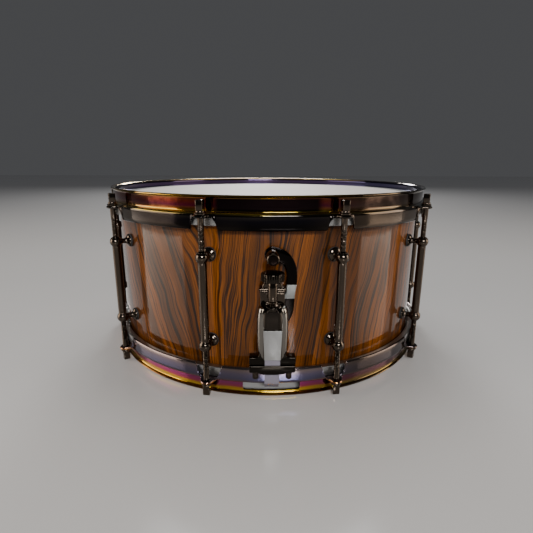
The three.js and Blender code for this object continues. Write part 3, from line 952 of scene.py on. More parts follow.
@dataclass(frozen=True)
class CoatedSkin(Finish):
    """A drum head sprayed with a rough off-white coating, bare near its edge."""

    white: Colour = (0.68, 0.635, 0.585)
    bare: Colour = (0.55, 0.54, 0.52)
    worn: Colour = (0.50, 0.485, 0.47)
    coated_depth: float = 165.0

    def dress(self, wiring: Wiring, shader: Node, place: NodeSocket) -> None:
        """Fine spatter, with a worn grey patch where sticks land.

        Args:
            wiring: Adds the nodes.
            shader: The node that the colours and values go to.
            place: The place on the drum, in metres.
        """
        depth = self.round_place(wiring, place)["Depth"]
        spatter = wiring.noise(place, 1500.0, 3.0, 0.65)
        cloud = wiring.noise(place, 22.0, 3.0, 0.5)
        edge = wiring.plus(depth, wiring.times(cloud, 2.5))
        coated = wiring.remap(edge, self.coated_depth + 2.2, self.coated_depth, 0.0, 1.0)
        worn = wiring.times(wiring.remap(depth, 62.0, 18.0), wiring.remap(cloud, 0.42, 0.7, 0.0, 0.35))
        white = wiring.mix(worn, self.white, self.worn)
        wiring.feed(shader.inputs["Base Color"], wiring.mix(coated, self.bare, white))
        wiring.feed(shader.inputs["Roughness"], wiring.remap(coated, 0.0, 1.0, 0.22, 0.62))
        wiring.feed(shader.inputs["Normal"], wiring.bump(wiring.times(spatter, coated), 0.00012, 0.6))


@dataclass(frozen=True)
class ClearFilm(Finish):
    """Thin see-through polyester, slightly hazy."""

    tone: Colour = (0.50, 0.47, 0.42)
    cover: float = 0.42
    roughness: float = 0.12
    glue: Colour = (0.13, 0.095, 0.06)
    glue_depth: float = 177.6

    def dress(self, wiring: Wiring, shader: Node, place: NodeSocket) -> None:
        """Faint smears, and a brown opaque collar where a head is glued in its ring.

        Args:
            wiring: Adds the nodes.
            shader: The node that the colours and values go to.
            place: The place on the drum, in metres.
        """
        smear = self.marks(wiring, place, 0.7)["Smear"]
        depth = self.round_place(wiring, place)["Depth"]
        glued = wiring.remap(depth, self.glue_depth, self.glue_depth + 0.8)
        clear = wiring.mix(wiring.times(smear, 0.3), self.tone, scaled(self.tone, 1.08))
        wiring.feed(shader.inputs["Base Color"], wiring.mix(glued, clear, self.glue))
        wiring.feed(shader.inputs["Roughness"], wiring.plus(wiring.times(smear, 0.04), self.roughness))
        milky = wiring.plus(wiring.times(smear, 0.02), self.cover)
        wiring.feed(shader.inputs["Alpha"], wiring.calc("MAXIMUM", milky, glued))


@dataclass(frozen=True)
class BareMetal(Finish):
    """Unplated metal with drawing lines round the drum."""

    tone: Colour = (0.40, 0.40, 0.395)
    roughness: float = 0.24

    def dress(self, wiring: Wiring, shader: Node, place: NodeSocket) -> None:
        """Fine lines at constant depth and height, left by rolling.

        Args:
            wiring: Adds the nodes.
            shader: The node that the colours and values go to.
            place: The place on the drum, in metres.
        """
        spot = self.round_place(wiring, place)
        stretched = [wiring.times(spot[name], scale)
                     for name, scale in (("Round", 0.02), ("Height", 4.0), ("Depth", 4.0))]
        drawn = wiring.noise(wiring.vector(*stretched), 1.0, 2.0, 0.6)
        lined = wiring.mix(wiring.remap(drawn, 0.3, 0.7, 0.0, 0.25), self.tone, scaled(self.tone, 0.75))
        wiring.feed(shader.inputs["Base Color"], lined)
        shader.inputs["Metallic"].default_value = 1.0
        rough = wiring.remap(drawn, 0.2, 0.8, self.roughness, self.roughness + 0.14)
        wiring.feed(shader.inputs["Roughness"], rough)
        wiring.feed(shader.inputs["Normal"], wiring.bump(drawn, 0.00002, 0.3))


@dataclass(frozen=True)
class Satin(Finish):
    """Pale bead-blasted metal."""

    tone: Colour = (0.33, 0.33, 0.325)
    grain_tone: Colour = (0.24, 0.24, 0.24)

    def dress(self, wiring: Wiring, shader: Node, place: NodeSocket) -> None:
        """A fine even grain, brighter towards the foot.

        Args:
            wiring: Adds the nodes.
            shader: The node that the colours and values go to.
            place: The place on the drum, in metres.
        """
        grain = wiring.noise(place, 5200.0, 2.0, 0.6)
        up = wiring.node("ShaderNodeSeparateXYZ", {0: place}).outputs[2]
        fade = wiring.remap(up, 0.044, 0.074, 0.0, 0.35)
        toned = wiring.mix(fade, self.tone, scaled(self.tone, 0.6))
        grained = wiring.mix(wiring.remap(grain, 0.3, 0.7, 0.0, 0.2), toned, self.grain_tone)
        wiring.feed(shader.inputs["Base Color"], grained)
        shader.inputs["Metallic"].default_value = 0.7
        wiring.feed(shader.inputs["Roughness"], wiring.remap(grain, 0.2, 0.8, 0.36, 0.5))
        wiring.feed(shader.inputs["Normal"], wiring.bump(grain, 0.00001, 0.3))


@dataclass(frozen=True)
class Rubber(Finish):
    """Matt black moulded rubber."""

    tone: Colour = (0.018, 0.018, 0.019)
    dust_tone: Colour = (0.15, 0.14, 0.13)

    def dress(self, wiring: Wiring, shader: Node, place: NodeSocket) -> None:
        """A fine moulded grain with pale dust on it.

        Args:
            wiring: Adds the nodes.
            shader: The node that the colours and values go to.
            place: The place on the drum, in metres.
        """
        grain = wiring.noise(place, 3800.0, 2.0, 0.6)
        dust = self.marks(wiring, place)["Dust"]
        dusty = wiring.mix(wiring.times(dust, 0.4), self.tone, self.dust_tone)
        wiring.feed(shader.inputs["Base Color"], dusty)
        wiring.feed(shader.inputs["Roughness"], wiring.remap(grain, 0.2, 0.8, 0.6, 0.8))
        wiring.feed(shader.inputs["Normal"], wiring.bump(grain, 0.00003, 0.4))


# The gold and orange stops near the lip and at the shoulder are painted highlights along the hoop's bends;
# the magenta, violet and blue stops are the oxide's own colours.
BATTER_TINT_AND_HIGHLIGHTS: Stops = (
    (0.00, (0.16, 0.07, 0.03)), (0.07, (0.48, 0.33, 0.05)), (0.13, (0.16, 0.05, 0.02)),
    (0.22, (0.19, 0.026, 0.014)), (0.36, (0.105, 0.008, 0.030)), (0.47, (0.22, 0.075, 0.010)),
    (0.55, (0.50, 0.36, 0.045)), (0.62, (0.030, 0.026, 0.023)), (0.78, (0.008, 0.007, 0.010)),
    (1.00, (0.007, 0.006, 0.006)))
SNARE_TINT_AND_HIGHLIGHTS: Stops = (
    (0.00, (0.10, 0.010, 0.008)), (0.07, (0.30, 0.14, 0.02)), (0.14, (0.80, 0.52, 0.03)),
    (0.21, (0.75, 0.40, 0.03)), (0.26, (0.50, 0.07, 0.13)), (0.38, (0.40, 0.05, 0.24)),
    (0.48, (0.42, 0.08, 0.14)), (0.54, (0.62, 0.26, 0.03)), (0.60, (0.14, 0.11, 0.16)),
    (0.70, (0.12, 0.12, 0.22)), (0.86, (0.18, 0.16, 0.25)), (1.00, (0.27, 0.21, 0.21)))


class Coats(Enum):
    """Every finish on the drum."""

    VENEER = Veneer("lacquered_veneer", "shell_wood")
    NICKEL = Plating("polished_dark_nickel", "black_nickel")
    # painted shade: the next five finishes are the same black nickel as NICKEL, given darker tones as
    # painted shade on their parts
    STRAINER = Plating("shaded_nickel_strainer", "black_nickel", tone=(0.038, 0.031, 0.025))
    SLIDER = ReflectingFlankPlating("shaded_nickel_slider_with_reflections", "black_nickel", tone=(0.034, 0.028, 0.023))
    JAW = Plating("shaded_nickel_jaw", "black_nickel", tone=(0.020, 0.017, 0.014), roughness=0.10)
    SHADED_NICKEL = Plating("shaded_nickel_face", "black_nickel", tone=(0.012, 0.008, 0.007), roughness=0.14)
    LEVER = HighlightBandPlating("shaded_nickel_lever_with_highlight", "black_nickel", tone=(0.008, 0.0065, 0.006),
                          roughness=0.06)
    BATTER_HOOP = TintAndHighlightPlating("tinted_highlit_batter_hoop", "hoop_steel", lip=DRUM_HEIGHT, inwards=-1.0,
                                black_half=40.0, stops=BATTER_TINT_AND_HIGHLIGHTS)
    SNARE_HOOP = TintAndHighlightPlating("tinted_highlit_snare_hoop", "hoop_steel", stops=SNARE_TINT_AND_HIGHLIGHTS)
    BATTER_SKIN = CoatedSkin("coated_skin", "batter_film")
    SNARE_SKIN = ClearFilm("clear_skin", "snare_film")
    STRAP = ClearFilm("milky_strap", "strap_film", tone=(0.26, 0.24, 0.29), cover=0.62, roughness=0.25,
                      glue_depth=900.0)
    ALUMINIUM = BareMetal("rolled_aluminium", "ring_aluminium")
    STEEL = BareMetal("steel_wire", "wire_steel", tone=(0.52, 0.52, 0.53), roughness=0.28)
    BRASS = BareMetal("brass_end_plate", "wire_steel", tone=(0.46, 0.30, 0.13), roughness=0.26)
    SATIN = Satin("blasted_facet", "black_nickel")
    RUBBER = Rubber("black_rubber", "black_nickel")

    @cache
    def material(self) -> Material:
        """The finish's material, made on its first use."""
        return self.value.material()


# ------------------------------------------------------------------------------------------- fitting


def lay(obj: Object, place: Matrix) -> Object:
    """Moves the mesh of a piece made in its own frame to its place, stated in millimetres.

    Args:
        obj: The piece.
        place: Its place.

    Returns:
        The same piece.
    """
    metres = place.copy()
    metres.translation *= MM
    obj.data.transform(metres)
    return obj


def copied(obj: Object, name: str) -> Object:
    """A second object with its own copy of the mesh.

    Args:
        obj: The object to copy.
        name: The copy's name.

    Returns:
        The copy.
    """
    twin = bpy.data.objects.new(name, obj.data.copy())
    bpy.context.scene.collection.objects.link(twin)
    return twin


def tie(obj: Object, coat: Coats, body: str, *nodes: str) -> None:
    """Fixes a finished piece to the frame.

    Args:
        obj: The piece.
        coat: Not used.
        body: The body that it moves with.
        nodes: The frame's nodes that it stands for.
    """
    if nodes:
        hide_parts(*nodes)
    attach(obj, body)
    LOG.info("%s: %d faces, moves with %s", obj.name, len(obj.data.polygons), body)


def fix(draft: Draft, name: str, coat: Coats, place: Matrix, body: str, *nodes: str,
        crease: float = 38.0) -> None:
    """Makes a draft a finished piece and fixes it to the frame.

    Args:
        draft: Its shape.
        name: The piece's name.
        coat: Its finish.
        place: Where the draft's own frame lies in the drum's, in millimetres.
        body: The body that it moves with.
        nodes: The frame's nodes that it stands for.
        crease: Edges sharper than this many degrees stay sharp.
    """
    tie(draft.piece(name, coat.material(), place, crease), coat, body, *nodes)


def lug_azimuths(count: int = 10) -> list[float]:
    """The azimuth of each lug, in degrees."""
    return [360.0 / count * (i + 0.5) for i in range(count)]


def turned_over() -> Matrix:
    """Takes what is made for the snare side to the batter side."""
    return Matrix.Translation((0, 0, DRUM_HEIGHT)) @ Matrix.Rotation(math.pi, 4, "X")


# ------------------------------------------------------------------------------- shell, heads, hoops


@dataclass
class Shell:
    """The wooden shell, with its vent."""

    wall: float = 7.5
    edge_inset: float = 10.1
    vent_azimuth: float = 144.0
    vent_radius: float = 6.4
    sides: int = 288

    def section(self) -> list[Point]:
        """The wall's closed section, with a slanting bearing edge at each end.

        Returns:
            Points (depth, height), up one side and down the other.
        """
        inner, edge = SHELL_RADIUS - self.wall, self.edge_inset
        low = [(inner, 60.0), (inner, edge + 4.4), (173.7, edge + 0.6), (174.1, edge + 0.15),
               (174.6, edge), (175.2, edge + 0.2), (176.9, edge + 1.8), (177.35, edge + 2.4),
               (SHELL_RADIUS, edge + 3.2), (SHELL_RADIUS, 60.0)]
        return low + [(radius, DRUM_HEIGHT - height) for radius, height in reversed(low)]

    def build(self) -> None:
        """Makes the shell and the vent's grommet."""
        coat = Coats.VENEER
        wall = Draft().turned(self.section(), self.sides, ring=True).piece("shell_wall", coat.material())
        place = outwards(self.vent_azimuth, DRUM_HEIGHT / 2)
        cutter = Draft().turned([(self.vent_radius, 160), (self.vent_radius, 185)], 32)
        carve(wall, [cutter.piece("vent_hole", coat.material(), place)])
        tie(wall, coat, "root", "shell")
        section = [(4.6, 167.6), (5.9, 167.6), (5.9, 178.1), (8.9, 178.1), (9, 178.5), (8.6, 179.2),
                   (7.6, 179.4), (5.4, 179.4), (4.9, 179.2), (4.6, 178.8)]
        grommet = Draft().turned(section, 48, ring=True)
        fix(grommet, "vent_ring", Coats.NICKEL, place, "root", "vent_grommet")


@dataclass
class Head:
    """A drum head: its film, and the metal ring that holds it."""

    name: str
    coat: Coats
    place: Matrix
    face: float = 8.7
    thickness: float = 0.8
    sides: int = 240

    def build(self) -> None:
        """Makes the film and its ring."""
        back = self.face + self.thickness
        face = self.face
        crown = [(176.0, face), (176.9, face + 0.12), (177.8, face + 0.55), (178.6, face + 1.2),
                 (179.1, face + 1.9), (179.2, face + 2.6), (179.2, 16.2), (177.9, 16.2),
                 (177.9, face + 3.1), (177.2, face + 2.0), (175.4, back + 0.2), (174.6, back)]
        profile = [(1.0, face), (60.0, face), *crown, (60.0, back), (1.0, back)]
        film = Draft().turned(profile, self.sides)
        fix(film, f"{self.name}_skin", self.coat, self.place, "root", f"{self.name}_film", crease=60.0)
        section = rounded([(179.6, 16.5), (185.7, 16.5), (185.7, 26.1), (179.6, 26.1)], 1.0, 3)
        ring = Draft().turned(section, self.sides, ring=True)
        name = f"{self.name}_counterhoop_ring"
        fix(ring, name, Coats.ALUMINIUM, self.place, "root", f"{self.name}_ring")


@dataclass
class Hoop:
    """A hoop of flanged steel strip, whose skirt is folded out into an ear at every lug."""

    name: str
    coat: Coats
    place: Matrix
    ear_inset: float
    gates: bool = False
    sheet: float = 2.3
    shoulder: float = 15.4
    ear_reach: float = 6.0
    hole_radius: float = 3.3
    lip_middle: Point = (184.05, 3.35)
    lip_radius: float = 2.2
    wall_radius: float = 181.85
    bend_radius: float = 1.5
    root_radius: float = 185.85
    gate_half: float = 26.5
    gate_heights: Point = (4.3, 13.3)

    def columns(self) -> list[float]:
        """Azimuths of the skin's columns, close together at the ears.

        Returns:
            The azimuths, in degrees.
        """
        ear_steps = [0.17 * i for i in range(-25, 26)]
        plain_steps = [5.5 + 1.5 * i for i in range(17)]
        return [azimuth + step for azimuth in lug_azimuths() for step in ear_steps + plain_steps]

    def fold(self, offset: float) -> tuple[float, float, float]:
        """How the strip's outer part runs at a distance along the hoop from the nearest rod.

        Args:
            offset: The distance, in millimetres.

        Returns:
            The angle that it turns down, in radians, its length, and how far its root shifts in height.
        """
        turn = math.pi / 2 * smooth_step(6.3, 12.2, offset)
        start = self.root_radius
        if offset < self.ear_reach:
            reach = ROD_CIRCLE + math.sqrt(self.ear_reach ** 2 - offset ** 2) - start
        else:
            flank = [(self.ear_reach, ROD_CIRCLE - start), (8.8, 3.2), (11.0, 5.4), (13.2, 12.4)]
            reach = through(flank, offset)
        lift = (self.ear_inset + self.sheet / 2 - self.shoulder) * (1 - turn / (math.pi / 2))
        return turn, reach - 0.4 * self.sheet, lift

    def path(self, offset: float) -> list[tuple[float, float, float]]:
        """The middle of the strip as (radius, height, direction), from the lip to the outer edge.

        Args:
            offset: The distance along the hoop from the nearest rod.

        Returns:
            The points in order.
        """
        depth, height, roll = *self.lip_middle, self.lip_radius
        lip = [(depth + roll * math.sin(t), height - roll * math.cos(t), t + math.pi)
               for t in (math.pi * share / 8 for share in (0.5, -1, -2, -3, -4))]
        wall = [(self.wall_radius, height, math.pi / 2) for height in (3.4, 7.0, 11.0, 13.8)]
        radius = self.bend_radius
        bend = [(183.35 - radius * math.cos(t), 13.9 + radius * math.sin(t), math.pi / 2 - t)
                for t in (math.pi / 8 * step for step in (1, 2, 3))]
        turn, length, lift = self.fold(offset)
        bent = radius * turn
        outer = []
        for share in (0.0, 0.06, 0.12, 0.18, 0.25, 0.33, 0.55, 0.8, 1.0):
            run = share * (bent + length)
            angle = min(run / radius, turn) if turn > 0.001 else 0.0
            straight = max(run - bent, 0.0)
            r = self.root_radius + radius * math.sin(angle) + straight * math.cos(turn)
            h = self.shoulder + radius * (1 - math.cos(angle)) + straight * math.sin(turn)
            outer.append((r, h + lift * smooth_step(0, 3, r - 185.0), angle))
        return lip + wall + bend + outer

    def section(self, offset: float) -> list[Point]:
        """The strip's closed section, with round edges.

        Args:
            offset: The distance along the hoop from the nearest rod.

        Returns:
            Points (radius, height) round the section.
        """
        half = self.sheet / 2
        path = self.path(offset)
        one_side = [(r - half * math.sin(a), h + half * math.cos(a)) for r, h, a in path]
        other_side = [(r + half * math.sin(a), h - half * math.cos(a)) for r, h, a in path]
        ends = []
        for (r, h, a), turn in ((path[-1], 0.0), (path[0], math.pi)):
            for t in (math.pi / 3, 0.0, -math.pi / 3):
                way = a + turn + t
                ends.append((r + half * 0.8 * math.cos(way), h + half * 0.8 * math.sin(way)))
        return one_side + ends[:3] + other_side[::-1] + ends[3:]

    def build(self) -> None:
        """Makes the hoop, its rod holes and its gates."""
        rows = []
        for azimuth in self.columns():
            nearest = (azimuth % 36.0) - 18.0
            offset = abs(ROD_CIRCLE * math.sin(math.radians(nearest)))
            turn = math.radians(azimuth)
            rows.append([Vector((r * math.sin(turn), -r * math.cos(turn), h))
                         for r, h in self.section(offset)])
        skin = Draft().loops(rows, ring=True)
        hoop = skin.piece(f"{self.name}_flange", self.coat.material(), crease=50.0)
        cutters = []
        for azimuth in lug_azimuths():
            place = station(azimuth) @ Matrix.Translation((0, -ROD_CIRCLE, 0))
            hole = Draft().turned([(self.hole_radius, 10), (self.hole_radius, 22)], 32)
            cutters.append(hole.piece("rod_hole", self.coat.material(), place))
        if self.gates:
            window = rounded(rectangle(self.gate_half, *self.gate_heights), 2.4, 5)
            for azimuth in (0.0, 180.0):
                gate = Draft().plate(window, 170, 184.1)
                cutters.append(gate.piece("gate", self.coat.material(), outwards(azimuth)))
        drill = cutters[0]
        self.merge(drill, cutters[1:])
        carve(hoop, [drill], 50.0)
        lay(hoop, self.place)
        tie(hoop, self.coat, "root", self.name)

    @staticmethod
    def merge(first: Object, others: Sequence[Object]) -> None:
        """Adds the meshes of other objects, which stand clear of one another, to the first.

        Args:
            first: The object that stays.
            others: The objects whose meshes move into it.
        """
        work = bmesh.new()
        for obj in (first, *others):
            work.from_mesh(obj.data)
        work.to_mesh(first.data)
        work.free()
        for obj in others:
            bpy.data.objects.remove(obj)


# ------------------------------------------------------------------------------------- lugs and rods


@dataclass
class TubeLugs:
    """Ten tubes that stand off the shell on ball posts."""

    ball_heights: Point = (50.1, 130.9)
    ball_radius: float = 5.8
    tube_radius: float = 3.95
    bore: float = 3.2
    foot_radius: float = 6.3

    def column(self) -> Draft:
        """The tube with its two balls, bored through.

        Returns:
            The draft, upright on the Z axis.
        """
        low, high = self.ball_heights
        r = self.ball_radius
        ball = [(r * math.cos(t), r * math.sin(t)) for t in self.ball_turns()]
        under = [(r, low + h) for r, h in ball]
        over = [(r, high - h) for r, h in reversed(ball)]
        waist = self.tube_radius
        tube = [(waist, low + 4.6), (waist, low + 8), (waist, high - 8), (waist, high - 4.6)]
        section = [(self.bore, low - 4.5), (3.7, low - 4.6), *under, *tube, *over, (3.7, high + 4.6),
                   (self.bore, high + 4.5)]
        return Draft().turned(section, 40, ring=True)

    def ball_turns(self) -> list[float]:
        """The latitudes at which a ball's skin has its rings.

        Returns:
            Angles in radians, from its outer flat to the tube.
        """
        first = math.radians(-50)
        last = math.acos((self.tube_radius + 0.15) / self.ball_radius)
        return [first + (last - first) * step / 12 for step in range(13)]

    def post(self) -> Draft:
        """A bell-shaped foot and its neck, along the way out of the shell.

        Returns:
            The draft, which stands along Z.
        """
        foot = self.foot_radius
        profile = [(foot, 179.0), (foot, 179.9), (foot - 0.3, 180.3), (foot - 1.1, 180.8), (4.1, 181.3),
                   (3.2, 182.2), (2.7, 183.4), (2.5, 185.0), (2.6, 186.4), (3.1, 187.6), (3.7, 188.4),
                   (3.9, 190.0)]
        return Draft().turned(profile, 32)

    def build(self) -> None:
        """Makes the lugs, their gaskets, and their bolts inside the shell."""
        draft = Draft().join(self.column(), Matrix.Translation((0, -ROD_CIRCLE, 0)))
        gasket = Draft().turned([(6.5, 177.6), (6.7, 178.1), (6.7, 178.7), (6.4, 179.1)], 32)
        bolt = Draft().turned([(2.0, 167.4), (2.2, 166.3), (4.2, 166.5), (5.0, 167.2), (5.0, 169.2),
                               (6.2, 169.4), (6.2, 170.2)], 24)
        gaskets, bolts = Draft(), Draft()
        for height in self.ball_heights:
            for part, shape in ((draft, self.post()), (gaskets, gasket), (bolts, bolt)):
                part.join(shape, outwards(0, height))
        first = draft.piece("lug", Coats.NICKEL.material())
        for number, azimuth in enumerate(lug_azimuths(), 1):
            lug = lay(copied(first, f"lug_column_{number:02d}"), station(azimuth))
            tie(lug, Coats.NICKEL, "root", f"tube_lug_{number:02d}")
        bpy.data.objects.remove(first)
        for name, coat, part in (("lug_gaskets", Coats.RUBBER, gaskets),
                                 ("lug_bolt_heads", Coats.NICKEL, bolts)):
            ring = part.piece(name, coat.material())
            tie(round_the_shell_pattern().run(ring, coat.material(), Count=10), coat, "root")


@dataclass
class TensionRods:
    """Twenty square-headed rods with their washers."""

    length: float = 66.5
    head_width: float = 6.2
    head_tip: float = 12.4
    thread_start: float = 25.5
    pitch: float = 0.79

    def template(self) -> Object:
        """One rod in its own frame, the tip of its head at height 0.

        Returns:
            The rod, to be copied.
        """
        shank = Draft().turned([
            (2.4, 8.6), (3.7, 8.7), (4.0, 9.1), (4.0, 10.2), (3.8, 10.5), (4.7, 10.5), (5.0, 10.8),
            (5.0, 11.7), (4.7, 12.0), (2.75, 12.0), (2.75, self.thread_start - 0.6),
            (2.45, self.thread_start), (2.45, self.length - 1.5), (1.6, self.length)], 32)
        half = self.head_width / 2
        corners = rounded(rectangle(half, -half, half), 0.7, 3)
        head = Draft().plate(corners, 0.0, 9.1, 0.55, 3)
        rod = head.join(shank).piece("rod", Coats.NICKEL.material())
        thread_pattern().run(rod, Coats.NICKEL.material(), Radius=2.45 * MM, Pitch=self.pitch * MM,
                             Start=self.thread_start * MM, Ridge=0.22 * MM, Turns=22.0)
        rod.data.set_sharp_from_angle(angle=math.radians(40))
        return rod

    def build(self) -> None:
        """Makes a rod for each ear of each hoop."""
        first = self.template()
        out = Matrix.Translation((0, -ROD_CIRCLE, 0))
        sides = {
            "snare": Matrix.Translation((0, 0, 14.0 - self.head_tip)) @ out,
            "batter": Matrix.Translation((0, 0, DRUM_HEIGHT - 16.1 + self.head_tip)) @ out
            @ Matrix.Rotation(math.pi, 4, "X")}
        for side, place in sides.items():
            for number, azimuth in enumerate(lug_azimuths(), 1):
                node = f"{side}_tension_rod_{number:02d}"
                slack = Matrix.Rotation(math.radians(self.rest_turn(number, side)), 4, "Z")
                rod = lay(copied(first, f"{side}_rod_{number:02d}"), station(azimuth) @ place @ slack)
                tie(rod, Coats.NICKEL, node, node)
        bpy.data.objects.remove(first)

    @staticmethod
    def rest_turn(number: int, side: str) -> float:
        """Degrees by which a rod's square head happens to stand askew."""
        return (number * 37 + (11 if side == "snare" else 0)) % 24 - 12.0


# ------------------------------------------------------------------------------- strainer and clamps


@dataclass
class Clamp:
    """The jaws that grip a strap, the same at the strainer and at the butt."""

    half_width: float = 20.0
    depths: Point = (191.2, 201.2)
    block: Point = (40.3, 47.0)
    bar: Point = (32.6, 39.1)
    screw_offset: float = 14.6
    screw_tip: float = 25.0

    def fixed_jaw(self) -> Draft:
        """The upper jaw, whose ends sweep up to the piece that carries it.

        Returns:
            The draft, seen from in front.
        """
        low, high = self.block
        right = [(self.half_width, low, 0.6), (self.half_width, high, 0.8), (15.2, high, 0.6),
                 (12.2, high + 0.9, 2.2), (10.6, high + 4.2, 0.0)]
        outline = rounded(mirrored(right), 0.5, 4)
        return Draft().plate(outline, *self.depths, 0.7, 3)

    def loose_jaw(self, name: str, place: Matrix) -> Object:
        """The lower jaw, with a shallow belly, bored for its screws.

        Args:
            name: The piece's name.
            place: The frame of its side of the drum.

        Returns:
            The new piece.
        """
        low, high = self.bar
        half = self.half_width
        right = [(4.0, low - 2.2, 8.0), (10.5, low - 1.4, 6.0), (13.2, low, 3.0), (half, low, 1.6),
                 (half, high, 0.8)]
        outline = rounded(mirrored(right), 0.5, 5)
        return Draft().plate(outline, *self.depths, 0.9, 3).piece(name, Coats.JAW.material(), place)

    def screw(self, name: str, x: float, azimuth: float) -> Object:
        """A clamp screw with a knurled head under the loose jaw.

        Args:
            name: The piece's name.
            x: Its distance to the right of the clamp's middle.
            azimuth: The side of the drum that it is on.

        Returns:
            The new piece.
        """
        tip, top = self.screw_tip, self.bar[0] - 0.3
        profile = [(0.9, tip + 0.9), (1.1, tip + 0.2), (2.1, tip), (2.4, tip + 0.4), (2.4, top - 0.4),
                   (2.1, top), (1.6, top), (1.6, 44.6)]
        screw = Draft().turned(profile, 24).piece(name, Coats.NICKEL.material())
        middle = (0.0, 0.0, (tip + top) / 2 * MM)
        ridge_pattern().run(screw, Coats.NICKEL.material(), Count=22, Radius=2.4 * MM, Rib=0.27 * MM,
                            Height=(top - tip - 1.2) * MM, Middle=middle)
        depth = sum(self.depths) / 2
        return lay(screw, station(azimuth) @ Matrix.Translation((x, -depth, 0)))

    def fit(self, name: str, node: str, azimuth: float, body: str) -> None:
        """Makes the loose jaw and the two screws.

        Args:
            name: What the pieces' names start with.
            node: What the names of the frame's nodes start with.
            azimuth: The side of the drum that the clamp is on, 0 or 180.
            body: The body that it moves with.
        """
        jaw = self.loose_jaw(f"{name}_lower_jaw", outwards(azimuth))
        tie(jaw, Coats.JAW, body, f"{node}_clamp_bar")
        right = self.screw_offset if azimuth == 0 else -self.screw_offset
        for side, x in (("left", -right), ("right", right)):
            screw = self.screw(f"{name}_screw_{side}", x, azimuth)
            tie(screw, Coats.NICKEL, body, f"{node}_clamp_screw_{side}")


@dataclass
class Strap:
    """A plastic strap from a clamp, in through the hoop's gate to the snare wires."""

    width: float = 13.2
    thickness: float = 0.5
    hem: float = 0.18
    outer: tuple[Point, ...] = ((201.8, 45.6), (201.8, 40.6), (201.3, 39.7), (190.9, 39.7),
                                (190.35, 39.0), (190.0, 24.0), (189.5, 15.4), (186.6, 12.6))
    inner: tuple[Point, ...] = ((189.3, 15.2), (186.6, 12.6), (184.6, 11.4), (181.9, 8.6), (180.2, 6.6),
                                (176.0, 5.8), (156.0, 5.8))

    def ribbon(self, path: Sequence[Point], name: str, azimuth: float) -> Object:
        """A ribbon along a path of (depth, height), with its corners rounded.

        Args:
            path: The corners of its middle line.
            name: The piece's name.
            azimuth: The side of the drum that it is on.

        Returns:
            The new piece.
        """
        bends = rounded([(*p, 1.6) for p in path], 1.6, 5, closed=False)
        fine = [bends[0]]
        for (d0, h0), (d1, h1) in zip(bends, bends[1:]):
            parts = max(1, round(math.hypot(d1 - d0, h1 - h0) / 1.5))
            fine.extend((d0 + (d1 - d0) * i / parts, h0 + (h1 - h0) * i / parts)
                        for i in range(1, parts + 1))
        thick = self.thickness / 2
        across = rounded(rectangle(self.width / 2, -thick, thick), self.hem, 2)
        rows = []
        for before, here, after in zip(fine[:1] + fine[:-1], fine, fine[1:] + fine[-1:]):
            along = Vector(after) - Vector(before)
            out = Vector((-along.y, along.x)).normalized()
            rows.append([Vector((x, -(here[0] + out.x * t), here[1] + out.y * t)) for x, t in across])
        return Draft().loops(rows).piece(name, Coats.STRAP.material(), station(azimuth))

    def build(self, name: str, azimuth: float, clamp_body: str) -> None:
        """Makes the strap as the length outside the hoop and the length inside.

        Args:
            name: The frame's node that it stands for.
            azimuth: The side of the drum that it is on.
            clamp_body: The body that its clamp moves with.
        """
        outside = self.ribbon(self.outer, f"{name}_outside", azimuth)
        inside = self.ribbon(self.inner, f"{name}_inside", azimuth)
        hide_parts(name)
        if clamp_body == "root":
            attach(outside, "root")
        else:
            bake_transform(outside)
        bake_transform(inside)

    @staticmethod
    def spot(turn: Matrix, depth: float, height: float) -> Place:
        """A place in the strap's plane, in metres."""
        return tuple(turn @ Vector((0, -depth, height)) * MM)


def bezier(start: Point, first: Point, second: Point, end: Point, steps: int = 14) -> list[Point]:
    """Points along a cubic curve, without its start.

    Args:
        start: Where it starts.
        first: Where its start heads for.
        second: Where its end comes from.
        end: Where it ends.
        steps: How many points it gets.

    Returns:
        The points.
    """
    points = []
    for step in range(1, steps + 1):
        t = step / steps
        weights = ((1 - t) ** 3, 3 * t * (1 - t) ** 2, 3 * t * t * (1 - t), t ** 3)
        pulls = tuple(zip(weights, (start, first, second, end)))
        points.append(tuple(sum(w * p[axis] for w, p in pulls) for axis in (0, 1)))
    return points


def arc(centre: Point, radius: float, start: float, end: float, steps: int = 16) -> list[Point]:
    """Points along an arc between two angles in degrees."""
    angles = [math.radians(start + (end - start) * i / steps) for i in range(steps + 1)]
    return [(centre[0] + radius * math.cos(a), centre[1] + radius * math.sin(a)) for a in angles]


